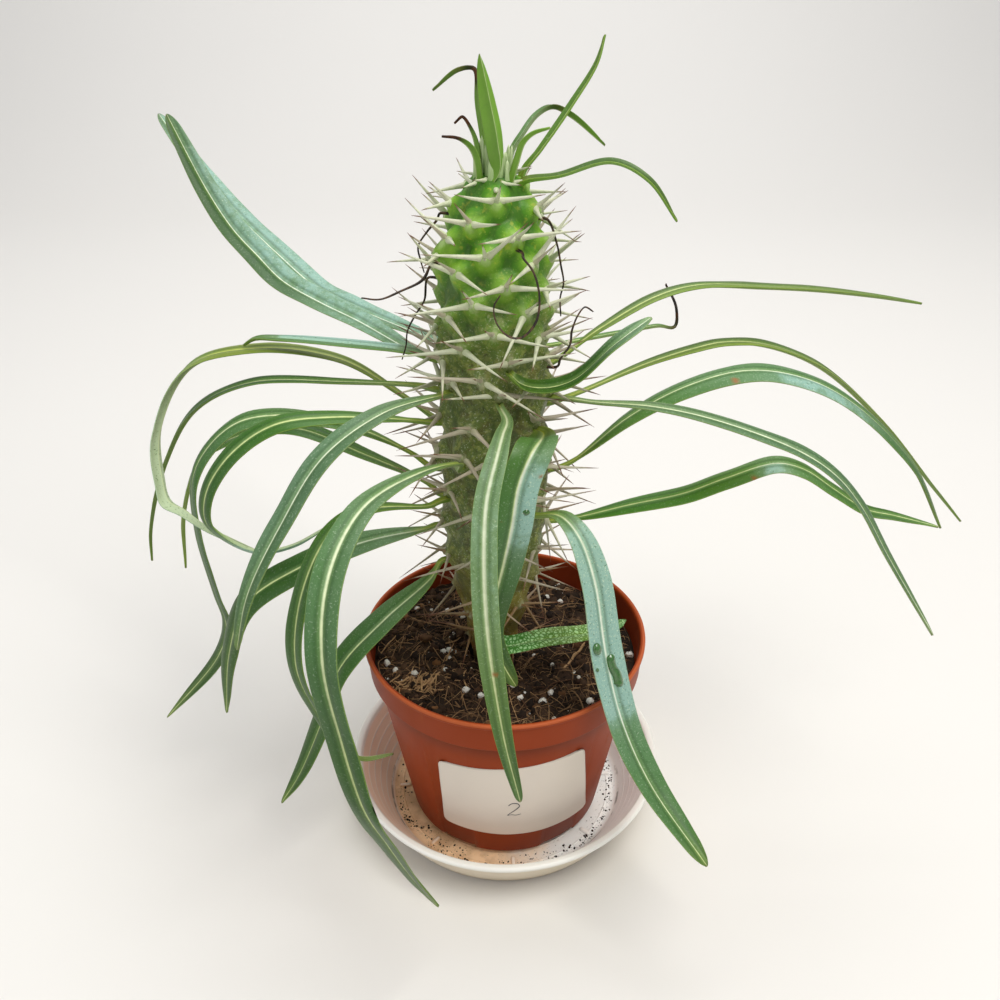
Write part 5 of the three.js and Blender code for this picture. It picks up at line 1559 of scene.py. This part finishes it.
def add_root(shape, draw, place):
    """A root or fibre that lies in an arc on the soil, clear of the stem."""
    count = len(FIBRES["taper"])
    reach = between(FIBRES["reach"], draw.random() ** 3)
    heading = draw.uniform(0, 360) + draw.normal(0, FIBRES["bend"]) * np.linspace(-0.5, 0.5, count)
    steps = polar(reach / (count - 1), heading, 0.0)
    route = place + np.cumsum(steps, axis=0) - steps.sum(axis=0) / 2
    keep_within(route, SOIL_EDGE_RADIUS - 1.2)
    lean = smooth(STEM_LEAN, SOIL_TOP)
    from_stem = np.hypot(route[:, 0] - lean, route[:, 1])
    route[:, 0] += (route[:, 0] - lean) * np.maximum(SOIL_HOLE_RADIUS / from_stem - 1, 0)
    route[:, 1] *= np.maximum(SOIL_HOLE_RADIUS / from_stem, 1)
    thick = draw.choice(FIBRES["radii"], p=FIBRES["odds"])
    ground = soil_height(route[:, 0], route[:, 1])
    arch = draw.uniform(*FIBRES["arch"]) * np.sin(np.linspace(0, math.pi, count))
    route[:, 2] = 0.5 * ground + 0.5 * ground.mean() + arch + thick * 0.5
    rings = tube_rings(route, thick * np.array(FIBRES["taper"]), FIBRES["sides"])
    shape.add_rings(rings, tone=draw.random() ** 1.6)


def add_chip(shape, draw):
    """One straight dry chip of the tuft."""
    x, y = np.array(TUFT["place"]) + draw.normal(0, TUFT["spread"], 2) * TUFT["stretch"]
    heading = np.radians(draw.normal(*TUFT["heading"]))
    step = np.linspace(-1, 1, TUFT["points"]) * draw.uniform(*TUFT["reach"])
    route = np.stack([x + step * math.cos(heading), y + step * math.sin(heading), 0 * step], axis=-1)
    keep_within(route, SOIL_EDGE_RADIUS - 3)
    lift = soil_height(route[:, 0], route[:, 1]) + draw.uniform(*TUFT["lift"])
    route[:, 2] = lift + draw.uniform(-TUFT["tilt"], TUFT["tilt"]) * step
    rings = tube_rings(route, draw.uniform(*TUFT["radii"]), TUFT["sides"])
    shape.add_rings(rings, tone=draw.uniform(*TUFT["tones"]))


def core_radius(height):
    return np.maximum(smooth(STEM_CORE, height), 0)


def turn_between(a, b):
    """The turn from b to a in degrees, from -180 to 180."""
    return (a - b + 540) % 360 - 180


def spiral_bumps():
    """The bumps that carry the spines climb in one spiral, each a golden angle on from the last."""
    bumps = []
    height = HIGHEST_BUMP
    while height > LOWEST_BUMP:
        spacing = float(smooth(BUMP_SPACING, height))
        azimuth = (len(bumps) * GOLDEN_ANGLE) % 360
        bumps.append(dict(azimuth=azimuth, height=height, spacing=spacing, leaf=False))
        height -= BUMP_PACKING * spacing ** 2 / (TAU * max(float(core_radius(height)), LEAST_BUMP_RADIUS))
    return bumps


def bumps_under_leaves(bumps, leaves):
    """The nearest free bump moves to where each leaf grows."""
    for leaf in leaves:
        azimuth, height = leaf["root"]
        reach = math.radians(1) * float(core_radius(height))

        def away(bump):
            return math.hypot(turn_between(bump["azimuth"], azimuth) * reach, bump["height"] - height)

        nearest = min((bump for bump in bumps if not bump["leaf"]), key=away)
        nearest.update(azimuth=azimuth, height=height + PETIOLE_BELOW_SPINES, leaf=True)
    return bumps


BUMPS = bumps_under_leaves(spiral_bumps(), [*LEAVES.values(), *DRY_LEAVES.values()])


def from_bump(bump, azimuth, height):
    """How far a place on the stem lies from a bump, round the stem and up it."""
    core = np.maximum(core_radius(height), LEAST_BUMP_RADIUS)
    return np.radians(turn_between(azimuth, bump["azimuth"])) * core, height - bump["height"]


def stem_rise(azimuth, height):
    """How far the bumps lift the stem's skin there."""
    rise = np.zeros(np.broadcast(azimuth, height).shape)
    for bump in BUMPS:
        spacing = bump["spacing"]
        across, dz = from_bump(bump, azimuth, height)
        along = dz / (np.where(dz > 0, BUMP_ABOVE, BUMP_BELOW) * spacing)
        near = np.maximum(1 - (across / (BUMP_WIDTH * spacing)) ** 2 - along ** 2, 0)
        rise = rise + near ** 1.5 * smooth(BUMP_HEIGHT, bump["height"])
    return rise


def areole_rise(azimuth, height, radius):
    """A small cone at the top of each bump, from 0 to 1."""
    cones = np.zeros(np.broadcast(azimuth, height).shape)
    for bump in BUMPS:
        across, dz = from_bump(bump, azimuth, height)
        cones = np.maximum(cones, 1 - np.hypot(across, dz * 0.8) / radius)
    return cones


def on_stem(azimuth, height, lift):
    """A point on the stem's skin, moved outwards by lift."""
    out = np.maximum(core_radius(height) + stem_rise(azimuth, height) + lift, 0)
    point = polar(out, azimuth, height)
    point[..., 0] += smooth(STEM_LEAN, height)
    return point


def add_stem(size, colours):
    """The stem's skin with its bumps and wrinkles."""
    shown = np.linspace(STEM_FIRST_ROW, STEM_TOP - 0.35, STEM_ROWS)
    heights = np.concatenate([STEM_BURIED_ROWS, shown])[:, None]
    azimuth = all_round(STEM_COLUMNS)[None]
    rise = stem_rise(azimuth, heights)
    cones = np.maximum(areole_rise(azimuth, heights, AREOLE["radius"]), 0)
    skin = polar(core_radius(heights) + rise, azimuth, heights)
    slow = np.clip(core_radius(heights) / 9, 0, 1)
    wrinkles = 0.16 * lumps(skin * (1, 1, 0.45), 1.8) + 0.22 * lumps(skin, 4.5, 3)
    cone = AREOLE["height"] * cones ** 1.5 * slow
    skin = polar(core_radius(heights) + rise + wrinkles * slow + cone, azimuth, heights)
    skin[..., 0] += smooth(STEM_LEAN, heights)
    foot, tip = (np.array((smooth(STEM_LEAN, height), 0, height)) for height in (STEM_BOTTOM, STEM_TOP))
    shape = Shape()
    film = areole_rise(azimuth, heights, AREOLE["film"])
    shape.add_rings(skin, foot, tip, raised=rise / FULLY_RAISED, areole=film)
    shape.piece("stem_skin", stem_bark(colours), "stem", "stem")
    add_spines(size, colours)
    add_buds(colours)


def add_buds(colours):
    """Small upright bracts that crowd the growing tip."""
    draw = np.random.default_rng(BUDS["seed"])
    share = np.linspace(0, 1, BUDS["rows"])
    angle = all_round(BUDS["sides"], TAU)
    wide = BUDS["width"] * np.sqrt(np.clip(1 - share ** 2.2, 0.004, 1))
    shape = Shape()
    for k in range(BUDS["count"]):
        azimuth = k * GOLDEN_ANGLE
        outward, across = polar(1.0, azimuth, 0.0), polar(1.0, azimuth + 90, 0.0)
        out = BUDS["spread"] * math.sqrt((k + 0.5) / BUDS["count"])
        foot = STEM_TOP - 2 - 0.55 * out
        tall = draw.uniform(*BUDS["heights"]) - 0.2 * out
        leaning = out + draw.uniform(*BUDS["lean"]) * share[:, None] ** 2
        route = outward * leaning + (0, 0, 1) * (foot + tall * share)[:, None]
        route[:, 0] += smooth(STEM_LEAN, STEM_TOP)
        flat = across * np.cos(angle)[:, None]
        deep = outward * np.sin(angle)[:, None] * BUDS["thick"]
        shape.add_rings(route[:, None] + wide[:, None, None] * (flat + deep), reach=share[:, None])
    shape.piece("apex_buds", bud_skin(colours), "young_leaf")


def blade_lines():
    """Short lines across every leaf, from edge to edge."""
    starts, ends = [], []
    for leaf in [*LEAVES.values(), *YOUNG_LEAVES.values(), *DRY_LEAVES.values()]:
        blade = blade_frames(leaf, SMALL_LEAF_ROWS)
        starts.append(blade.point - blade.side * blade.half[:, None])
        ends.append(blade.point + blade.side * blade.half[:, None])
    return np.vstack(starts), np.vstack(ends)


def meets_blade(root, tip, lines):
    """Whether a spine comes too near a leaf."""
    starts, ends = lines
    points = root + (tip - root) * SPINE_PROBES[:, None, None]
    across = ends - starts
    t = np.sum((points - starts) * across, axis=-1) / np.sum(across * across, axis=-1)
    nearest = starts + np.clip(t, 0, 1)[..., None] * across
    return bool((np.linalg.norm(points - nearest, axis=-1) < SPINE_TO_BLADE).any())


def vary(what, number):
    """A random amount, above or below 0, for one of a spine's measures."""
    return SPINE_VARIES[what] * (chance(number) - 0.5)


def spine_axes():
    """Each spine's root, tip, whether it is the short one, and a number for its random values."""
    lines = blade_lines()
    for n, bump in enumerate(BUMPS):
        root = on_stem(bump["azimuth"], bump["height"], -SPINE_SUNK)
        outward = polar(1.0, bump["azimuth"], 0.0)
        for k in range(3):
            short = k == 2
            draw = n * 3 + k
            splay = vary("short_turn", draw)
            if not short:
                splay = (1 if k else -1) * (SPINE_SPLAY + vary("splay", draw))
            lift = float(smooth(SPINE_LIFT, bump["height"])) + (SHORT_SPINE_LIFT if short else 0)
            lift += vary("lift", draw + 0.5)
            whole = float(smooth(SPINE_LENGTH, bump["height"])) * (SHORT_SPINE_SHARE if short else 1)
            reach = SPINE_SUNK + whole * (0.85 + SPINE_VARIES["length"] * chance(draw + 0.25))
            axis = unit(turned_about(outward, np.array((0, 0, 1.0)), splay) + (0, 0, lift))
            tip = clear_tip(root, axis, reach, outward, lines)
            if tip is not None:
                yield root, tip, short, draw


def clear_tip(root, axis, reach, outward, lines):
    """Where a spine ends, turned aside where a leaf is in the way, or None where no turn is clear."""
    for turn in SPINE_TURNS:
        tip = root + turned_about(axis, outward, turn) * reach
        if tip[2] > SOIL_TOP + 3 and not meets_blade(root, tip, lines):
            return tip
    return None


def add_spines(size, colours):
    """The spines, and the felt round their roots."""
    shape = Shape()
    share, radii = np.array(SPINE_TAPER, dtype=float).T
    radii = radii * size.spine_radius
    for root, tip, short, draw in spine_axes():
        route = root + (tip - root) * share[:, None]
        route[:, 2] += vary("bend", draw + 0.7) * np.sin(share * math.pi)
        age = 0.35 * (1 - soft_step(root[2], 190, 250)) + 0.6 * (1 - soft_step(root[2], 90, 150))
        tone = np.clip(age + 0.2 * short + vary("tone", draw + 0.9), 0, 1)
        stout = float(smooth(SPINE_STOUTNESS, root[2])) * (0.82 if short else 1)
        shape.add_rings(tube_rings(route, radii * stout, SPINE_SIDES), reach=share[:, None], tone=tone)
    add_crown_spines(shape, share, radii)
    shape.piece("stem_spines", spine_horn(colours), "stem")
    add_wool(colours)


def add_crown_spines(shape, share, radii):
    """Short spines that crowd the stem's tip, more upright than the others."""
    crown = CROWN_SPINES
    for k in range(crown["count"]):
        azimuth = k * GOLDEN_ANGLE
        root = on_stem(azimuth, between(crown["heights"], chance(k + 0.3)), -SPINE_SUNK)
        heading = azimuth + crown["splay"] * 2 * (chance(k + 0.6) - 0.5)
        axis = unit(polar(1.0, heading, 0.0) + (0, 0, crown["lift"] * chance(k + 0.8)))
        route = root + axis * between(crown["reach"], chance(k + 0.1)) * share[:, None]
        rings = tube_rings(route, radii * crown["stoutness"], SPINE_SIDES)
        shape.add_rings(rings, reach=share[:, None], tone=0.0)


def add_wool(colours):
    """Felt at the root of each cluster of spines."""
    draw = np.random.default_rng(WOOL["seed"])
    places = [on_stem(bump["azimuth"], bump["height"] + WOOL["rise"], WOOL["lift"]) for bump in BUMPS]
    sizes = [WOOL["smallest"] + WOOL["growth"] * draw.random() for _ in BUMPS]
    tones = [float(1 - soft_step(bump["height"], 120, 220)) for bump in BUMPS]
    bodies, faces = grains(draw, places, sizes, WOOL["rough"], WOOL["flat"])
    shape = Shape()
    shape.add_copies(bodies, faces, tone=tones)
    shape.piece("stem_wool", areole_wool(colours), "stem")


def leaf_route(leaf):
    """The midrib's route, from inside the stem to the tip."""
    along = polar(1.0, leaf["azimuth"], 0.0)
    sideways = polar(1.0, leaf["azimuth"] + 90, 0.0)
    route = []
    for out, up, *side in leaf["route"]:
        route.append(along * out + sideways * (side[0] if side else 0) + (0, 0, up))
    if "root" in leaf:
        azimuth, height = leaf["root"]
        stalk = [on_stem(azimuth, height, -LEAF_SUNK), on_stem(azimuth, height + 0.5, LEAF_SUNK)]
    else:
        height = min(route[0][2], YOUNG_LEAF_SEAT) - LEAF_SUNK
        stalk = [on_stem(leaf["azimuth"], height, -LEAF_SUNK)]
    return catmull_rom([*stalk, *route])


def blade_frames(leaf, rows):
    """Along the blade: points, side and upper directions, half width, fold, share and length."""
    share = 1 - (1 - np.linspace(0, 1, rows)) ** TIP_CLOSENESS
    point, whole = points_along(leaf_route(leaf), share)
    tangent = unit(np.gradient(point, axis=0))
    sideways = polar(1.0, leaf["azimuth"] + 90, 0.0)
    side = unit(sideways - (tangent @ sideways)[:, None] * tangent)
    side = turned_about(side, tangent, between(leaf.get("turn", (0, 0)), share))
    petiole = np.maximum(1 - share * whole / PETIOLE_LENGTH, 0)
    narrow = min(leaf["width"], PETIOLE_WIDTH)
    wide = leaf["width"] * smooth(BLADE_WIDTH, between(leaf.get("span", (0, 1)), share))
    width = np.maximum(wide, narrow * (1 - share) + TIP_WIDTH * share)
    return SimpleNamespace(
        point=point, side=side, up=np.cross(tangent, side), half=width / 2, petiole=petiole,
        fold=np.radians(leaf["fold"] + PETIOLE_FOLD * petiole), share=share, length=whole)


def blade_section(blade, across, thickness, ripple):
    """The blade's upper and lower faces: a soft fold, arched halves, a channel and a keel."""
    half, fold, petiole = blade.half[:, None], blade.fold[:, None], blade.petiole[:, None]
    side_mm = half * np.abs(across)
    soft = np.sqrt(across ** 2 + BLADE["soft"]) - math.sqrt(BLADE["soft"])
    arch = BLADE["arch"] * half * np.sin(math.pi * np.abs(across)) * (1 - petiole)
    depth, width = BLADE["channel"]
    channel = -depth * np.exp(-(side_mm / width) ** 2)
    waves = ripple * across ** 2
    top = half * soft * np.sin(fold) + arch + channel + waves
    depth, width = BLADE["keel"]
    keel = depth * np.exp(-(side_mm / width) ** 2) * np.clip(half / 3, 0, 1)
    share = BLADE["edge"] + BLADE["middle"] * (1 - np.abs(across) ** 2)
    thick = thickness * share + keel + BLADE["stalk"] * petiole
    spread = blade.side[:, None] * (half * across * np.cos(fold))[..., None]
    upper = blade.point[:, None] + spread + blade.up[:, None] * top[..., None]
    lower = blade.point[:, None] + spread + blade.up[:, None] * (top - thick)[..., None]
    return upper, lower, side_mm


def leaf_looks(name, leaf, share, across):
    """The values that colour a leaf, over its rows and columns; its two halves may differ, by the painted
    sheen and painted shade that fall on each half.
    """
    looks = {**USUAL_LOOK, **LEAF_LOOKS.get(name, {})}
    near = {**looks, **looks.get("near", {})}
    # The half nearer the front takes its own rows, whose silvery and dark green amounts paint the sheen and
    # shade that light gives each half of a folded leaf
    facing = 1 if math.sin(math.radians(leaf["azimuth"] + 90)) < 0.1 else -1
    nearer = soft_step(across * facing, -0.04, 0.04)
    return {key: (1 - nearer) * smooth(looks[key], share)[:, None]
            + nearer * smooth(near[key], share)[:, None] for key in USUAL_LOOK}


def blade_ripple(blade, run, across):
    """Slow waves of the blade's edges, which differ from one side to the other."""
    left, right = (lumps(run + (0, shift, 0), RIPPLE["size"]) * RIPPLE["height"]
                   for shift in (0, RIPPLE["between_sides"]))
    return np.where(across < 0, left[:, None], right[:, None]) * np.clip(blade.half / 5, 0, 1)[:, None]


def nick_at(name, blade, across):
    """How much a brown nick colours the blade, over its rows and columns."""
    if name not in NICKS:
        return 0.0
    share, side, radius = NICKS[name]
    along = (blade.share - share)[:, None] * blade.length
    away = np.hypot(along, (across - side) * blade.half[:, None])
    return 1 - soft_step(away, 0.4 * radius, radius)


def add_blade(name, leaf, rows, size, finish, slot):
    """One leaf, which stands for its node."""
    blade = blade_frames(leaf, rows)
    to_tip = np.minimum((1 - blade.share) * blade.length / max(1.5, TIP_ROUNDING * blade.half[-1]), 1)
    blade.half = blade.half * np.sqrt(np.maximum(1 - (1 - to_tip) ** 2, 0.004))
    across = np.array(BLADE_ACROSS, dtype=float)
    run = np.stack([blade.share * blade.length, np.full(rows, sum(map(ord, name))), np.zeros(rows)], axis=-1)
    ripple = blade_ripple(blade, run, across)
    thick = size.small_thickness if leaf["width"] < SMALL_LEAF_WIDTH else size.blade_thickness
    if slot == "dry_leaf":
        thick *= DRY_THINNESS
        blade.petiole = blade.petiole * DRY_STALK
        blade.half = blade.half * DRY_THINNESS * (1 + 0.35 * lumps(run, 4))
    round_blade = np.concatenate([across, across[::-1]])
    looks = leaf_looks(name, leaf, blade.share, round_blade)
    blade.half = blade.half * (1 - DRIED_SHRINKAGE * looks["dry"].min(axis=1))
    upper, lower, side_mm = blade_section(blade, across, thick, ripple)
    rings = np.concatenate([upper, lower[:, ::-1]], axis=1)
    rings[..., 1] = np.maximum(rings[..., 1], FRONT_REACH)
    both = np.concatenate([side_mm, side_mm[:, ::-1]], axis=1)
    under = np.repeat((0.0, 1.0), len(across))
    nick = nick_at(name, blade, round_blade)
    shape = Shape()
    shape.add_rings(rings, side=both, edge=blade.half[:, None] - both, under=under, nick=nick, **looks)
    shape.piece(name + "_blade", finish, slot, name)


def on_blade(leaf, share, across, size):
    """A point on a leaf's upper face, with the directions along its width and out of it."""
    blade = blade_frames(LEAVES[leaf], DROP_LEAF_ROWS)
    beside = np.array((across - 0.01, across, across + 0.01))
    upper, _, _ = blade_section(blade, beside, size.blade_thickness, 0)
    k = int(np.searchsorted(blade.share, share))
    up = unit(np.cross(upper[k + 1, 1] - upper[k - 1, 1], upper[k, 2] - upper[k, 0]))
    return upper[k, 1], blade.side[k], up


def add_drops(size):
    """Drops of water that lie on the front leaves."""
    shape = Shape()
    for drop in DROPS:
        spots = [on_blade(drop["leaf"], share, across, size) for share, across in drop["places"]]
        rings = round_drop if len(spots) == 1 else long_drop
        shape.add_rings(rings(spots, drop["radii"]))
    shape.piece("leaf_water_drops", clear_water(), "leaf")


def long_drop(spots, radii):
    """Rings of a drop that has run along the leaf."""
    route = catmull_rom([point - up * 0.5 * radius for (point, _, up), radius in zip(spots, radii)], 8)
    wide = np.interp(np.linspace(0, 1, len(route)), np.linspace(0, 1, len(radii)), radii)
    ends = np.minimum(np.arange(len(route)), np.arange(len(route))[::-1])
    return tube_rings(route, wide * np.sqrt(np.minimum((ends + 0.3) / 5, 1)), DROP_SIDES)


def round_drop(spots, radii):
    """Rings of a drop that lies where it fell, a little longer along the leaf."""
    (point, side, up), radius = spots[0], radii[0]
    angle = all_round(DROP_SIDES, TAU)
    wobble = 1 + 0.08 * np.sin(2 * angle + radius * 9)
    flat = side * np.cos(angle)[:, None] + 1.15 * np.cross(side, up) * np.sin(angle)[:, None]
    return np.array([point + flat * (radius * out * wobble)[:, None] + up * radius * DROP_HEIGHT * lift
                     for lift, out in DROP_SECTION])


def add_stage(colours):
    """A pale floor that bends up into a backdrop, soft lights and the camera."""
    bend = np.linspace(-math.pi / 2, 0, STAGE["steps"])
    depth = STAGE["bend"] + STAGE["radius"] * np.cos(bend)
    rise = STAGE["radius"] * (1 + np.sin(bend))
    profile = [(STAGE["front"], 0), *zip(depth, rise), (depth[-1], STAGE["height"])]
    points = [(x, y, z) for y, z in profile for x in (-STAGE["half_width"], STAGE["half_width"])]
    faces = [(2 * k, 2 * k + 1, 2 * k + 3, 2 * k + 2) for k in range(len(profile) - 1)]
    mesh = new_mesh("stage_floor", points, faces, stage_paint(colours))
    new_object("stage_floor", mesh)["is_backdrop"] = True
    add_lights()
    add_camera()


def add_lights():
    """Large soft lights, and a pale world."""
    for name, spec in LIGHTS.items():
        lamp = bpy.data.lights.new(name, "AREA")
        lamp.energy = spec["power"]
        lamp.size = spec["size"]
        lamp.color = spec["colour"]
        light = new_object(name, lamp)
        light.location = spec["place"]
        direction = Vector(spec["target"]) - light.location
        light.rotation_euler = direction.to_track_quat("-Z", "Y").to_euler()
    world = bpy.data.worlds.new("soft_world")
    world.use_nodes = True
    background = world.node_tree.nodes["Background"]
    background.inputs["Color"].default_value = (*tint(WORLD_COLOUR), 1)
    background.inputs["Strength"].default_value = WORLD_STRENGTH
    bpy.context.scene.world = world
    bpy.context.scene.view_settings.view_transform = "Standard"


def add_camera():
    """The camera at the photograph's place and angle."""
    lens = bpy.data.cameras.new("camera")
    lens.lens = CAMERA["lens"]
    lens.sensor_width = CAMERA["sensor"]
    camera = new_object("camera", lens)
    camera.location = CAMERA["place"]
    turn = Euler([math.radians(angle) for angle in CAMERA["turn"]]).to_matrix()
    roll = Euler((0, 0, math.radians(CAMERA["roll"]))).to_matrix()
    camera.rotation_euler = (turn @ roll).to_euler()
    bpy.context.scene.camera = camera


def look(context):
    """The user's sizes in millimetres, and colours."""
    return in_mm(context.scene.palm_sizes), context.scene.palm_colours


class PALM_OT_saucer(bpy.types.Operator):
    """Add the saucer"""

    bl_idname = "palm.add_saucer"
    bl_label = "Add Saucer"

    def execute(self, context):
        add_saucer(*look(context))
        return {"FINISHED"}


class PALM_OT_pot(bpy.types.Operator):
    """Add the pot"""

    bl_idname = "palm.add_pot"
    bl_label = "Add Pot"

    def execute(self, context):
        add_pot(*look(context))
        return {"FINISHED"}


class PALM_OT_label(bpy.types.Operator):
    """Add the label on the pot"""

    bl_idname = "palm.add_label"
    bl_label = "Add Label"

    def execute(self, context):
        add_label(*look(context))
        return {"FINISHED"}


class PALM_OT_soil(bpy.types.Operator):
    """Add the soil with its crumbs, grains and fibres"""

    bl_idname = "palm.add_soil"
    bl_label = "Add Soil"

    def execute(self, context):
        add_soil(*look(context))
        return {"FINISHED"}


class PALM_OT_stem(bpy.types.Operator):
    """Add the stem with its spines"""

    bl_idname = "palm.add_stem"
    bl_label = "Add Stem"

    def execute(self, context):
        add_stem(*look(context))
        return {"FINISHED"}


class PALM_OT_leaves(bpy.types.Operator):
    """Add the long leaves"""

    bl_idname = "palm.add_leaves"
    bl_label = "Add Leaves"

    def execute(self, context):
        size, colours = look(context)
        green = leaf_blade(colours, "leaf_green", colours.leaf, colours.leaf_under)
        netted = leaf_blade(colours, "leaf_netted", NETTED_GREEN, colours.leaf_under, NET_LIGHT_AND_SHADE)
        for name, leaf in LEAVES.items():
            add_blade(name, leaf, LEAF_ROWS, size, netted if name in NETTED_LEAVES else green, "leaf")
        return {"FINISHED"}


class PALM_OT_young_leaves(bpy.types.Operator):
    """Add the young leaves at the top"""

    bl_idname = "palm.add_young_leaves"
    bl_label = "Add Young Leaves"

    def execute(self, context):
        size, colours = look(context)
        finish = leaf_blade(colours, "young_leaf_green", colours.young_leaf, colours.young_leaf)
        for name, leaf in YOUNG_LEAVES.items():
            add_blade(name, leaf, SMALL_LEAF_ROWS, size, finish, "young_leaf")
        return {"FINISHED"}


class PALM_OT_dry_leaves(bpy.types.Operator):
    """Add the dry leaves that still hang on"""

    bl_idname = "palm.add_dry_leaves"
    bl_label = "Add Dry Leaves"

    def execute(self, context):
        size, colours = look(context)
        finish = dry_leaf_skin(colours)
        for name, leaf in DRY_LEAVES.items():
            add_blade(name, leaf, SMALL_LEAF_ROWS, size, finish, "dry_leaf")
        return {"FINISHED"}


class PALM_OT_drops(bpy.types.Operator):
    """Add the drops of water on the front leaves"""

    bl_idname = "palm.add_drops"
    bl_label = "Add Water Drops"

    def execute(self, context):
        size, _ = look(context)
        add_drops(size)
        return {"FINISHED"}


class PALM_OT_stage(bpy.types.Operator):
    """Add the floor, the lights and the camera"""

    bl_idname = "palm.add_stage"
    bl_label = "Add Stage"

    def execute(self, context):
        _, colours = look(context)
        add_stage(colours)
        return {"FINISHED"}


OPERATORS = (PALM_OT_saucer, PALM_OT_pot, PALM_OT_label, PALM_OT_soil, PALM_OT_stem, PALM_OT_leaves,
             PALM_OT_young_leaves, PALM_OT_dry_leaves, PALM_OT_drops, PALM_OT_stage)


class PALM_PT_panel(bpy.types.Panel):
    """The sizes, the colours and a button for each piece"""

    bl_idname = "PALM_PT_panel"
    bl_label = "Potted Madagascar Palm"
    bl_space_type = "VIEW_3D"
    bl_region_type = "UI"
    bl_category = "Palm"

    def draw(self, context):
        for group in (context.scene.palm_sizes, context.scene.palm_colours):
            for name in group.__annotations__:
                self.layout.prop(group, name)
        for operator in OPERATORS:
            self.layout.operator(operator.bl_idname)


CLASSES = (PalmSizes, PalmColours, *OPERATORS, PALM_PT_panel)


def register():
    for cls in CLASSES:
        bpy.utils.register_class(cls)
    bpy.types.Scene.palm_sizes = bpy.props.PointerProperty(type=PalmSizes)
    bpy.types.Scene.palm_colours = bpy.props.PointerProperty(type=PalmColours)


def unregister():
    del bpy.types.Scene.palm_colours
    del bpy.types.Scene.palm_sizes
    for cls in reversed(CLASSES):
        bpy.utils.unregister_class(cls)


def write_sizes():
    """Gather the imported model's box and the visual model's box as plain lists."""
    boxes = {"cad": CAD_BOX, "visual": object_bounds()}
    plain_boxes = {key: [list(corner) for corner in box] for key, box in boxes.items()}


def main():
    """Build the whole plant, piece by piece."""
    register()
    bpy.ops.palm.add_stage()
    bpy.ops.palm.add_saucer()
    bpy.ops.palm.add_pot()
    bpy.ops.palm.add_label()
    bpy.ops.palm.add_soil()
    bpy.ops.palm.add_stem()
    bpy.ops.palm.add_leaves()
    bpy.ops.palm.add_young_leaves()
    bpy.ops.palm.add_dry_leaves()
    bpy.ops.palm.add_drops()
    write_sizes()


if __name__ == "__main__":
    main()
